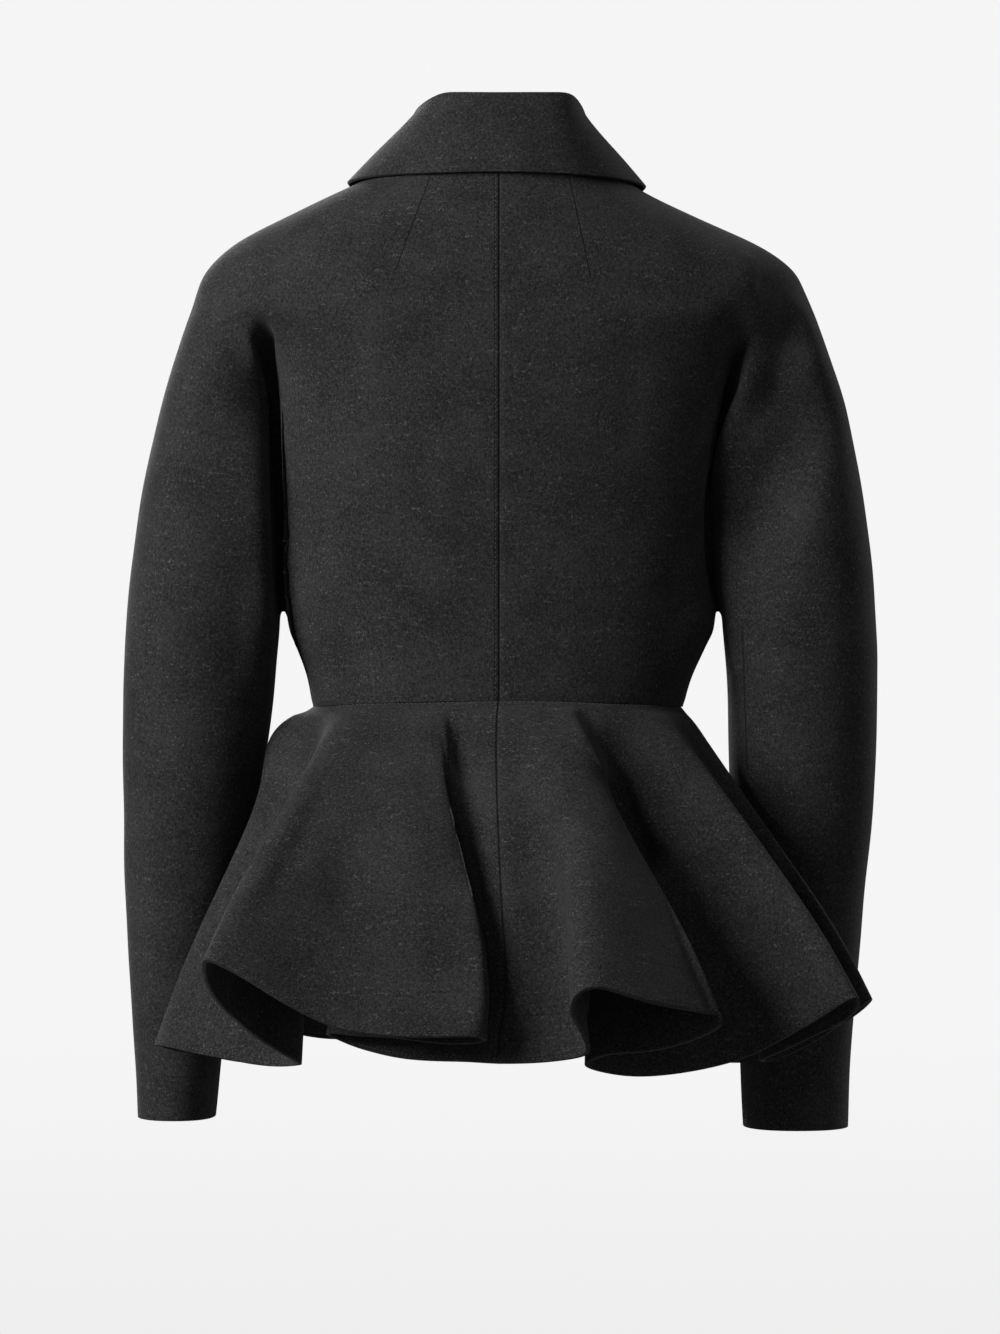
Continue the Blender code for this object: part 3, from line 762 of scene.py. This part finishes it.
bodiceFolds = foldsSeen(
    "back",
    # the crease under the left arm
    (((159, -130), (157, -153), (154, -186), (152, -213), (150, -245), (149, -278), (148, -320)), -5, (8, 3.5),
     (0.12, 0.5)),
    (((146, -146), (144, -177), (142, -218), (140, -258)), 1.2, (5, 12), (0.3, 0.4)),
    (((172, -130), (168, -153), (165, -180)), 5, (10, 6), (0.3, 0.5), (0, 1, 0)),
    # the fold that starts over the right shoulder blade and runs into the crease under the arm
    (((-169, -122), (-174, -153), (-171, -180), (-163, -202), (-154, -235), (-149, -262), (-147, -289)), 8, (5.5, 9),
     (0.14, 0.5)),
    (((-165, -163), (-156, -191), (-150, -213), (-145, -240), (-144, -262), (-144, -289), (-145, -320)), -6,
     (4.5, 3.5), (0.2, 0.3)),
    (((-159, -128), (-157, -153), (-154, -175)), -2.2, (8, 6), 0.4),
    (((-225, -109), (-225, -147), (-219, -185), (-206, -216), (-189, -243), (-177, -271), (-169, -298), (-163, -329)),
     14, (24, 30), (0.3, 0.35), (0, -1, 0)),
    (((-202, -114), (-198, -150), (-190, -185), (-178, -219)), 12, (13, 22), (0.3, 0.4), (0, -1, 0)),
    (((-233, -188), (-222, -233), (-212, -272), (-206, -305), (-204, -360)), 2, (18, 15), (0.35, 0.5)),
    (((-175, -69), (-172, -96), (-168, -126)), 3.5, (22, 9), (0.35, 0.3)),
    (((-131, -265), (-131, -299), (-125, -333), (-112, -371)), -3.5, (22, 14), 0.3),
    # soft bands down the back
    (((97, -135), (99, -204)), -0.8, 9, 0.4),
    (((51, -160), (53, -289)), -0.9, 10, 0.4),
    (((-91, -139), (-88, -248)), -0.9, 11, 0.4),
    (((-42, -272), (-33, -326), (-36, -388)), -0.7, 13, (0.4, 0.3)),
    (((115, -320), (105, -354), (100, -394)), -0.9, (12, 10), (0.4, 0.2)),
    # the sleeves, seen from the back
    (((177, -298), (180, -340), (181, -395)), -1.3, (13, 12), 0.4),
    (((202, -202), (206, -271), (208, -326)), 0.9, 18, 0.4),
    (((169, -175), (162, -230), (159, -285), (158, -353), (163, -422)), 14, (26, 9), (0.3, 0.35), (0, 1, 0)),
    (((-153, -257), (-153, -312), (-161, -360), (-164, -415)), 6, (9, 20), (0.3, 0.35), (0, 1, 0)),
    (((159, -388), (181, -403), (211, -406)), -0.9, (8, 9), (0.3, 0.5)),
    (((163, -424), (186, -433), (219, -430)), -0.7, (8, 9), (0.3, 0.5)),
    (((202, -653), (203, -681)), -0.5, 4, (0.4, 0.1)),
    (((211, -649), (213, -681)), -0.4, 3.5, (0.4, 0.1)),
    (((-162, -388), (-185, -403), (-215, -403)), -1, 9, (0.3, 0.5)),
    (((-166, -436), (-189, -444), (-221, -439)), -0.8, (9, 8), (0.3, 0.5)),
) + foldsSeen(
    "front",
    # the sleeves bend forwards, so their folds are deepest in front
    (((244, -318), (208, -330), (176, -352)), -3.6, (7, 8), (0.4, 0.3)),
    (((246, -352), (212, -361), (182, -380)), -3, (8, 6), (0.4, 0.3)),
    (((247, -388), (218, -392), (190, -408)), -2.2, (7, 8), 0.4),
    (((240, -440), (222, -446), (205, -462)), -1.4, 8, 0.4),
    (((-240, -322), (-206, -331), (-176, -350)), -3.3, (8, 7), (0.4, 0.3)),
    (((-244, -362), (-210, -368), (-180, -383)), -3.3, (6, 8), (0.4, 0.3)),
    (((-243, -400), (-212, -408), (-186, -420)), -2.1, 8, 0.4),
    (((-238, -452), (-214, -455), (-196, -470)), -1.2, 8, 0.4),
) + foldsSeen(
    "left",
    (((-58, -318), (-25, -330), (6, -334)), -2, 8, (0.3, 0.5)),
    (((-60, -358), (-22, -368), (8, -368)), -1.7, 8, (0.3, 0.5)),
) + foldsSeen(
    "right",
    (((-58, -322), (-25, -333), (6, -336)), -2, 8, (0.3, 0.5)),
    (((-60, -366), (-22, -374), (8, -374)), -1.7, 8, (0.3, 0.5)),
) + foldsSeen(
    "front",
    # the front: creases under the arms, a drag to the waist button and soft bands on the chest
    (((150, -112), (157, -160), (160, -215), (159, -290)), -6, (4, 9), (0.2, 0.5)),
    (((-152, -112), (-158, -165), (-160, -220), (-158, -290)), -6, (9, 4), (0.2, 0.5)),
    (((104, -52), (126, -82), (144, -122)), -2.7, (9, 10), (0.4, 0.3)),
    (((-98, -50), (-124, -86), (-146, -126)), -3, (10, 9), (0.4, 0.3)),
    (((84, -120), (112, -150), (140, -166)), -1.8, 10, 0.4),
    (((-80, -130), (-110, -152), (-140, -172)), -1.8, 10, 0.4),
    (((22, -372), (58, -354), (104, -332)), -1.7, (7, 9), (0.2, 0.5)),
    (((24, -352), (66, -330), (110, -300)), -1.2, 9, (0.2, 0.5)),
    (((-24, -370), (-60, -356), (-106, -338)), -1.5, (9, 7), (0.2, 0.5)),
    (((-26, -336), (-62, -318), (-104, -292)), -1.2, 9, (0.2, 0.5)),
    (((52, -200), (56, -300)), -1.2, 12, 0.4),
    (((-56, -190), (-54, -290)), -1.2, 12, 0.4),
)
peplumFolds = foldsSeen(
    "back",
    # the flare left of the centre back ends in a crest that turns under
    (((40, -394), (36, -420), (32, -446), (27, -472), (22, -502), (16, -528), (12, -554), (10, -584), (9, -610)), 3.6,
     (12, 4), (0.06, 0.05), (0, 1, 0)),
    (((35, -398), (29, -423), (24, -453), (18, -485)), -3, (4.5, 14), (0.15, 0.5), (0, 1, 0)),
    (((-1, -433), (-6, -479), (-10, -525), (-12, -570), (-14, -616)), 7, (18, 24), (0.35, 0.15), (0, 1, 0)),
    (((120, -433), (136, -469), (154, -505), (167, -531), (178, -551)), 1.5, 9, (0.3, 0.1)),
    (((111, -436), (126, -472), (143, -512), (155, -541)), -1.4, (9, 10), 0.3),
    (((94, -472), (102, -512), (109, -554)), -1.6, (13, 12), (0.35, 0.3)),
    (((66, -420), (62, -472), (57, -525), (52, -580)), 1.6, (17, 15), (0.3, 0.2)),
    # the flare right of the centre back, with its crown and the crest beside it
    (((-16, -412), (-24, -436), (-31, -459), (-39, -492), (-45, -525), (-50, -551), (-54, -572)), 1.5, (18, 26),
     (0.2, 0.05)),
    (((-52, -417), (-64, -436), (-84, -467), (-102, -505), (-119, -544), (-144, -597)), 14, (30, 10), (0.3, 0.05),
     (0, -1, 0)),
    (((-45, -395), (-54, -411), (-64, -428), (-75, -448), (-86, -469)), 4, (9, 4), (0.06, 0.5), (0, 1, 0)),
    (((-54, -395), (-65, -417), (-77, -439), (-90, -464), (-102, -492)), -4.5, (5, 9), (0.06, 0.5), (0, 1, 0)),
    # the flare at the right side
    (((-116, -459), (-136, -498), (-157, -544), (-171, -580)), 2, 16, (0.3, 0.2)),
    (((-145, -485), (-168, -528), (-188, -565)), -1.6, 12, 0.3),
) + foldsSeen(
    "front",
    # the flares in front and at the sides
    (((44, -392), (52, -450), (60, -520), (66, -600)), 2.4, (11, 6), 0.1),
    (((58, -392), (68, -450), (78, -530)), -2.6, (6, 9), (0.08, 0.4)),
    (((-50, -392), (-60, -450), (-70, -530), (-76, -600)), 2.4, (7, 11), 0.1),
    (((-66, -392), (-78, -450), (-90, -530)), -2.6, (9, 6), (0.08, 0.4)),
    (((96, -410), (118, -480), (136, -560)), -1.8, 12, (0.2, 0.3)),
    (((-94, -410), (-112, -480), (-128, -560)), -1.8, 12, (0.2, 0.3)),
) + foldsSeen(
    "left",
    (((-30, -400), (-44, -470), (-60, -560)), 2, 12, (0.15, 0.2)),
    (((30, -400), (48, -470), (70, -560)), -2, 12, (0.15, 0.3)),
) + foldsSeen(
    "right",
    (((-26, -400), (-40, -470), (-56, -560)), 2, 12, (0.15, 0.2)),
    (((34, -400), (52, -470), (74, -560)), -2, 12, (0.15, 0.3)),
)
collarFolds = foldsSeen(
    "back",
    # a soft roll, a little uneven
    (((60, 8), (20, 13), (-24, 12), (-58, 8)), 0.5, 6, 0.3),
    (((48, -18), (10, -12), (-30, -14)), -0.4, 9, 0.4),
)

# how the hem moves: (verts along it from the middle front by the left, x, z), the moves in mm
hemMoves = (
    (180, 0, 0), (210, 0, 5), (228, 0, 9), (240, 0, 10), (252, 0, 9), (264, 0, 8), (276, 0, 3), (288, 0, 2),
    (300, 0, 5), (312, 0, 7.5), (324, 0, 6.5), (336, 0, 6.5), (348, 0, 4), (360, 0, 5), (372, -2, 8), (384, -6, 5),
    (396, -6, 6), (408, -1, 8), (420, 0, 8), (432, 0, 1), (444, 0, -5), (468, 0, -4.5), (480, -1, -3.5), (492, 0, 0),
    (504, 0, 6), (516, 0, 12), (528, -2, 11), (540, -6, 9.5), (552, 0, 13), (564, 0, 8), (576, 0, 2), (588, 0, -0.5),
    (600, 0, -3), (612, 0, -4), (624, -3, -5), (636, -4.5, -2), (648, 0, -2), (660, 0, -2.4), (672, 0, -8.5),
    (684, 0, -9), (696, 3.5, -8.5), (708, 0, -3.5), (720, 0, 0), (732, -4, 6.5), (744, 4, 1), (756, 3, -1.5),
    (780, 0, 1), (792, 0, 3), (804, 0, 1), (816, 0, -4), (828, 0, -5), (840, 0, 3), (852, -2, 6), (864, 0, 5.5),
    (876, 1, 6), (888, 3, 10), (900, 4.5, 10.5), (912, 4, 10.5), (924, 2, 12.5), (936, 0, 11), (948, 0, 9.5),
    (960, 0, 12.5), (972, 0, 12), (984, 0, 9), (996, 0, 6), (1016, 0, 0),
)
# the cloth stands out beside the waist on the left: verts along the hem, rows up from it and mm outwards
sideBulge = {"along": 266, "up": 43, "wide": 44, "high": 9.5, "out": 18}
# pulls: (seen from, where, the move, how far it reaches), in mm
shoulderPulls = (
    ("back", (112, -58), (0, 0, 2.4), 22),
    ("back", (163, -84), (0, 0, -2.0), 24),
    ("back", (-156, -84), (0, 0, -4), 32),
    ("back", (-186, -100), (0.5, 0, -1.0), 26),
)
# where a crease starts softly: (seen from, where, how far around it), in mm
creaseTops = (
    ("back", (-169, -146), 20),
    ("back", (-172, -132), 16),
)
# the lower end of the lap covers the waist seam
waistPulls = (
    ("front", (18, -400), (0, 0, 1.8), 14),
)
collarPulls = (
    ("back", (75, -14), (-3.4, 0, 0), 30),
    ("back", (96, -38), (-1.6, 0, 0), 18),
    ("back", (-78, -14), (2.4, 0, 0), 26),
    ("back", (-96, -38), (1.6, 0, 0), 18),
)


stitchedEdges = {
    "bodice_back_left": (nearestMiddle,),
    "bodice_front_left": (nearestMiddle,),
    "bodice_front_right": (nearestMiddle,),
    "peplum_back_left": (nearestMiddle, highest, lowest),
    "peplum_back_right": (highest, lowest),
    "peplum_front_left": (nearestMiddle, highest, lowest),
    "peplum_front_right": (nearestMiddle, highest, lowest),
    "collar": (lowest,),
}


# Panels: one piece of the garment, cut out of the sewn cloth again and given its thickness

def pressSeams(mesh):
    # the cloth dips along each seam
    shape = opened(mesh)
    shape.normal_update()
    moves = {}
    for edge in shape.edges:
        if len({face.material_index for face in edge.link_faces}) == 2:
            for vert in edge.verts:
                moves[vert] = vert.normal * cloth["seamSink"] * mm
    for vert, move in moves.items():
        vert.co -= move
    shape.to_mesh(mesh)
    shape.free()


def nearWaist(vert):
    return abs(vert.co.x) < waist["halfWidth"] * mm and waist["low"] * mm < vert.co.z < waist["high"] * mm


def tuckEdge(mesh, sink, lift, reach):
    # the edge along the waist is curled in (sink) or let out, and lifted, over the last few mm
    points, normals = readPoints(mesh), readNormals(mesh)
    shape = opened(mesh)
    edge = [vert.index for vert in shape.verts if vert.is_boundary and nearWaist(vert)]
    shape.free()
    tree = KDTree(len(edge))
    for index in edge:
        tree.insert(points[index], index)
    tree.balance()
    across, height = np.abs(points[:, 0]), points[:, 2]
    near = (across < waist["halfWidth"] * mm) & (height > (waist["low"] - reach) * mm)
    near &= height < (waist["high"] + reach) * mm
    for index in np.nonzero(near)[0]:
        away = tree.find(points[index])[2] / (reach * mm)
        if away < 1:
            share = 1 - away * away * (3 - 2 * away)
            points[index] += (Vector((0, 0, lift)) - Vector(normals[index]) * sink) * share * mm
    writePoints(mesh, points)


def cutPanel(mesh, index):
    shape = opened(mesh)
    shape.normal_update()
    wayOut = shape.verts.layers.float_vector.new("wayOut")
    wasEdge = shape.verts.layers.int.new("wasEdge")
    for vert in shape.verts:
        vert[wayOut] = vert.normal
        vert[wasEdge] = vert.is_boundary
    others = [face for face in shape.faces if face.material_index != index]
    bmesh.ops.delete(shape, geom=others, context="FACES")
    for face in shape.faces:
        face.material_index = 0
    for name in awayNames:
        shape.verts.layers.float.new(name)
    return shape


def measureAway(shape, name, verts):
    # the distance to a run of the cloth's edge, in mm, for the lines that the material draws beside it
    layer = shape.verts.layers.float[name]
    tree = KDTree(max(len(verts), 1))
    for index, vert in enumerate(verts):
        tree.insert(vert.co, index)
    tree.balance()
    for vert in shape.verts:
        vert[layer] = min(tree.find(vert.co)[2] / mm, cloth["far"]) if verts else cloth["far"]


def giveWall(shape):
    # the inner face lies behind the outer one by the whole cloth's normals, so that sewn edges meet
    wayOut = shape.verts.layers.float_vector["wayOut"]
    made = bmesh.ops.extrude_face_region(shape, geom=shape.faces[:], use_keep_orig=True)["geom"]
    outer = {item for item in made if isinstance(item, bmesh.types.BMVert)}
    hemAway = shape.verts.layers.float["hemAway"]
    for vert in shape.verts:
        if vert not in outer:
            turned = min(max((wool["hemDepth"] - vert[hemAway]) / cloth["hemStep"] + 0.5, 0), 1)
            vert.co -= vert[wayOut] * (cloth["shown"] + cloth["turnedUp"] * turned) * mm
    bmesh.ops.recalc_face_normals(shape, faces=shape.faces)
    shape.verts.layers.float_vector.remove(wayOut)


def makePanel(mesh, index, node, material, flat, area, held):
    shape = cutPanel(mesh, index)
    runs = borderRuns(shape)
    wasEdge = shape.verts.layers.int["wasEdge"]
    sewn = [vert for run in runs for vert in run if not vert[wasEdge] or nearWaist(vert)]
    measureAway(shape, "seamAway", sewn)
    measureAway(shape, "edgeAway", [vert for choose in stitchedEdges.get(node, ()) for vert in choose(runs)])
    measureAway(shape, "hemAway", lowest(runs) if node != "collar" else [])
    sheets[node] = bpy.data.meshes.new(node + "Sheet")
    shape.to_mesh(sheets[node])
    giveWall(shape)
    words = node.split("_")
    made = newObject(words[0] + "".join(word.capitalize() for word in words[1:]) + "Cloth", shape, material)
    edge = made.modifiers.new("softEdge", "BEVEL")
    edge.width = cloth["edgeRound"] * mm
    edge.segments = 2
    edge.limit_method = "ANGLE"
    edge.angle_limit = math.radians(60)
    edge.use_clamp_overlap = True
    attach(made, "root")
    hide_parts(node)
    ["collar"] if node != "collar" else ["bodice_back_left"]
    return made


# Stitches

stitch = {"length": 2.2, "pitch": 3.2, "thick": 0.5, "sunk": 0.04, "ahead": 0.6}
# the worked end that shows beside the button, as (to the side, up) from its middle
buttonhole = {"ring": ((7, 1), (13, 1), (14.2, 0), (13, -1), (7, -1)), "pitch": 0.8}


def rowAlong(node, choose, inset):
    # a path on the outer face, beside the run of the panel's edge that is chosen
    shape = opened(sheets[node])
    shape.normal_update()
    tree = BVHTree.FromBMesh(shape)
    run = choose(borderRuns(shape))
    path = []
    for place, vert in enumerate(run):
        before, after = run[max(place - 1, 0)], run[min(place + 1, len(run) - 1)]
        inward = vert.normal.cross(after.co - before.co).normalized()
        path.append(vert.co + inward * inset * mm)
    points = smoothPath([tuple(point) for point in path], len(path) * 2)
    shape.free()
    return points, tree


def buttonholeRow(node):
    low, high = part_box(node)
    across, height = (low[0] + high[0]) / 2 / mm, (low[2] + high[2]) / 2 / mm
    tree = treeOf(sheets["bodice_front_right"])
    ring = [(across - side, height + up) for side, up in buttonhole["ring"]]
    return layOnCloth(tree, "front", ring), tree


def sewRow(name, rows, material, pitch=stitch["pitch"]):
    # small stitches along each path, half sunk in the cloth
    seed = bmesh.new()
    bmesh.ops.create_uvsphere(seed, u_segments=6, v_segments=4, radius=0.5)
    bmesh.ops.rotate(seed, cent=(0, 0, 0), matrix=Matrix.Rotation(math.pi / 2, 3, "Y"), verts=seed.verts)
    bmesh.ops.scale(seed, vec=(stitch["length"] * mm, stitch["thick"] * mm, stitch["thick"] * mm), verts=seed.verts)
    one = newMesh("oneStitch", seed)
    shape = bmesh.new()
    count = 0
    for points, tree in rows:
        lengths = lengthsAlong(points)
        places = np.arange(pitch * mm, lengths[-1] - pitch * mm, pitch * mm)
        spots = [spotsAlong(points, lengths, places + side * stitch["ahead"] * mm) for side in (-1, 0, 1)]
        for before, here, after in zip(*spots):
            hit, normal = tree.find_nearest(Vector(here))[:2]
            if not hit:
                continue
            along = Vector(after - before).normalized()
            across = normal.cross(along).normalized()
            turn = Matrix((along, across, across.cross(along) * -1)).transposed()
            copy = one.copy()
            copy.transform(Matrix.Translation(hit - normal * stitch["sunk"] * mm) @ turn.to_4x4())
            shape.from_mesh(copy)
            bpy.data.meshes.remove(copy)
            count += 1
    bmesh.ops.recalc_face_normals(shape, faces=shape.faces)
    made = newObject(name, shape, material)
    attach(made, "root")
    print(name, "has", count, "stitches")


# Buttons

button = {
    "radius": 10.0,
    "thick": 3.6,
    "profile": ((0.0, 0.0), (0.86, 0.0), (0.97, 0.12), (1.0, 0.35), (1.0, 0.7), (0.95, 0.93), (0.88, 1.0),
                (0.8, 0.96), (0.72, 0.8), (0.62, 0.72), (0.0, 0.7)),
    "steps": 40,
    "hole": 0.95,
    "holeAt": 2.1,         # the holes' distance from the middle
    "strand": 0.26,        # the thread's radius
    "apart": 0.28,         # half the distance of two strands
    "floor": 0.2,          # the height of the dished face over the middle, as a share of the thickness
    "stitch": ((-1, -1.6), (-1, -0.2), (-0.8, 0.22), (0, 0.34), (0.8, 0.22), (1, -0.2), (1, -1.6)),
}


def tube(shape, points, radius, sides=8):
    # a strand along the points, closed at both ends
    rings = []
    for place, point in enumerate(points):
        before, after = points[max(place - 1, 0)], points[min(place + 1, len(points) - 1)]
        turn = (Vector(after) - Vector(before)).to_track_quat("Z", "Y")
        rings.append([shape.verts.new(Vector(point) + turn @ Vector((math.cos(a) * radius, math.sin(a) * radius, 0)))
                      for a in (2 * math.pi * step / sides for step in range(sides))])
    for ring, following in zip(rings, rings[1:]):
        for step in range(sides):
            other = (step + 1) % sides
            shape.faces.new((ring[step], ring[other], following[other], following[step]))
    shape.faces.new(rings[0][::-1])
    shape.faces.new(rings[-1])


def drilled(shape):
    # four holes through the button's middle, cut by four pins
    pins = bmesh.new()
    radius = button["hole"] * mm
    for across, up in ((1, 1), (1, -1), (-1, 1), (-1, -1)):
        place = Matrix.Translation(Vector((across, up, 0)) * button["holeAt"] / math.sqrt(2) * mm)
        bmesh.ops.create_cone(pins, cap_ends=True, segments=16, radius1=radius, radius2=radius,
                              depth=3 * button["thick"] * mm, matrix=place)
    body, tool = [newHolder(name, newMesh(name, each)) for name, each in (("body", shape), ("pins", pins))]
    cut = body.modifiers.new("holes", "BOOLEAN")
    cut.object = tool
    cut.operation = "DIFFERENCE"
    cut.solver = "EXACT"
    result = opened(evaluated(body))
    for holder in (body, tool):
        bpy.data.objects.remove(holder)
    return result


def makeButton(node, material, thread):
    points = readPoints(frame["nodes"][node].data)
    centre = points.mean(0)
    axis = np.linalg.svd(points - centre)[2][2]
    if axis[1] > 0:
        axis = -axis
    shape = bmesh.new()
    verts = [shape.verts.new((button["radius"] * out * mm, 0, (up - 0.5) * button["thick"] * mm))
             for out, up in button["profile"]]
    edges = [shape.edges.new(pair) for pair in zip(verts, verts[1:])]
    bmesh.ops.spin(shape, geom=verts + edges, cent=(0, 0, 0), axis=(0, 0, 1), angle=2 * math.pi,
                   steps=button["steps"], use_merge=True)
    bmesh.ops.remove_doubles(shape, verts=shape.verts, dist=cloth["merge"] * mm)
    bmesh.ops.recalc_face_normals(shape, faces=shape.faces)
    shape = drilled(shape)
    turn = Vector(axis).to_track_quat("Z", "Y").to_matrix().to_4x4()
    place = Matrix.Translation(Vector(centre)) @ turn
    bmesh.ops.transform(shape, matrix=place, verts=shape.verts)
    strands = bmesh.new()
    far, top = button["holeAt"] / math.sqrt(2), button["floor"] * button["thick"]
    for up in (far, -far):
        for step in (-button["apart"], button["apart"]):
            path = [(x * far * mm, (up + step) * mm, (top + lift) * mm) for x, lift in button["stitch"]]
            tube(strands, path, button["strand"] * mm)
    bmesh.ops.transform(strands, matrix=place, verts=strands.verts)
    sewnOn = newObject(node.replace("_", "") + "Thread", strands, thread)
    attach(sewnOn, "root")
    made = newObject(node.replace("_", "") + "Horn", shape, material)
    made.data.set_sharp_from_angle(angle=math.radians(40))
    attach(made, "root")
    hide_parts(node)


# The garment

setCamera()
setLamps()
makeStage()
print("camera, lamps and floor are set")

bodicePanels, peplumPanels = [[part + end for end in ("_back_left", "_back_right", "_front_left", "_front_right")]
                              for part in ("bodice", "peplum")]
buttons = ["button_" + str(index) for index in range(1, 5)]
# each panel laid flat: its length and width in m, and its area in square metres
flatCuts = {
    "bodice_back_left": ((0.56, 0.72), 0.172),
    "bodice_back_right": ((0.56, 0.73), 0.176),
    "bodice_front_left": ((0.58, 0.72), 0.178),
    "bodice_front_right": ((0.58, 0.73), 0.182),
    "collar": ((0.56, 0.11), 0.054),
    "peplum_back_left": ((0.62, 0.42), 0.132),
    "peplum_back_right": ((0.64, 0.43), 0.137),
    "peplum_front_left": ((0.44, 0.36), 0.091),
    "peplum_front_right": ((0.46, 0.36), 0.094),
}
# the two darts below the neck and the seam under the right sleeve, drawn as lines of painted shade: (start, end, how
# strongly it shows)
backLines = (
    ((47.1, 0, -36.0), (70.3, 0, -101.6), 1),
    ((-48.5, 0, -35.7), (-62.7, 0, -106.4), 1),
    ((-168.5, 0, -345.0), (-172.7, 0, -443.0), 0.7),
)
plainWool = woolMaterial("wool")
dartedWool = woolMaterial("woolWithDarts", backLines)
collarWool = woolMaterial("collarWool", rows=collarRows)
wools = {"bodice_back_left": dartedWool, "bodice_back_right": dartedWool, "collar": collarWool}
thread = threadMaterial()
horn = hornMaterial()

bodice = sewnTogether("bodice", bodicePanels)
slideFold(bodice, rightCrease)
pullCloth(bodice, shoulderPulls)
pressFolds(bodice, bodiceFolds, unevenness=0.5, seed=3)
evenOut(bodice, creaseTops)
pressSeams(bodice)
tuckEdge(bodice, sink=0.5, lift=0.0, reach=7)
peplum = sewnTogether("peplum", peplumPanels)
slideFold(peplum, backCrest)
pressFolds(peplum, peplumFolds, unevenness=0.4, seed=5)
shapeHem(peplum)
pullCloth(peplum, waistPulls)
pressSeams(peplum)
tuckEdge(peplum, sink=-0.3, lift=1.5, reach=9)
collar = sewnTogether("collar", ("collar",))
pullCloth(collar, collarPulls)
pressFolds(collar, collarFolds, unevenness=0.2, seed=7)
sharpenCorners(collar)
print("folds are pressed")

pieces = {}
sheets = {}
cloths = ((bodice, bodicePanels, "hung"), (peplum, peplumPanels, "gathered"), (collar, ("collar",), "folded"))
for mesh, panels, held in cloths:
    for index, node in enumerate(panels):
        pieces[node] = makePanel(mesh, index, node, wools.get(node, plainWool), *flatCuts[node], held)
print("panels are cut")

for node, choices in stitchedEdges.items():
    insets = collarRows if node == "collar" else oneRow
    rows = [rowAlong(node, choose, inset) for choose in choices for inset in insets]
    sewRow(pieces[node].name.replace("Cloth", "Stitches"), rows, thread)
sewRow("buttonholeStitches", [buttonholeRow(node) for node in buttons], thread, buttonhole["pitch"])
print("stitches are sewn")

for node in buttons:
    makeButton(node, horn, thread)
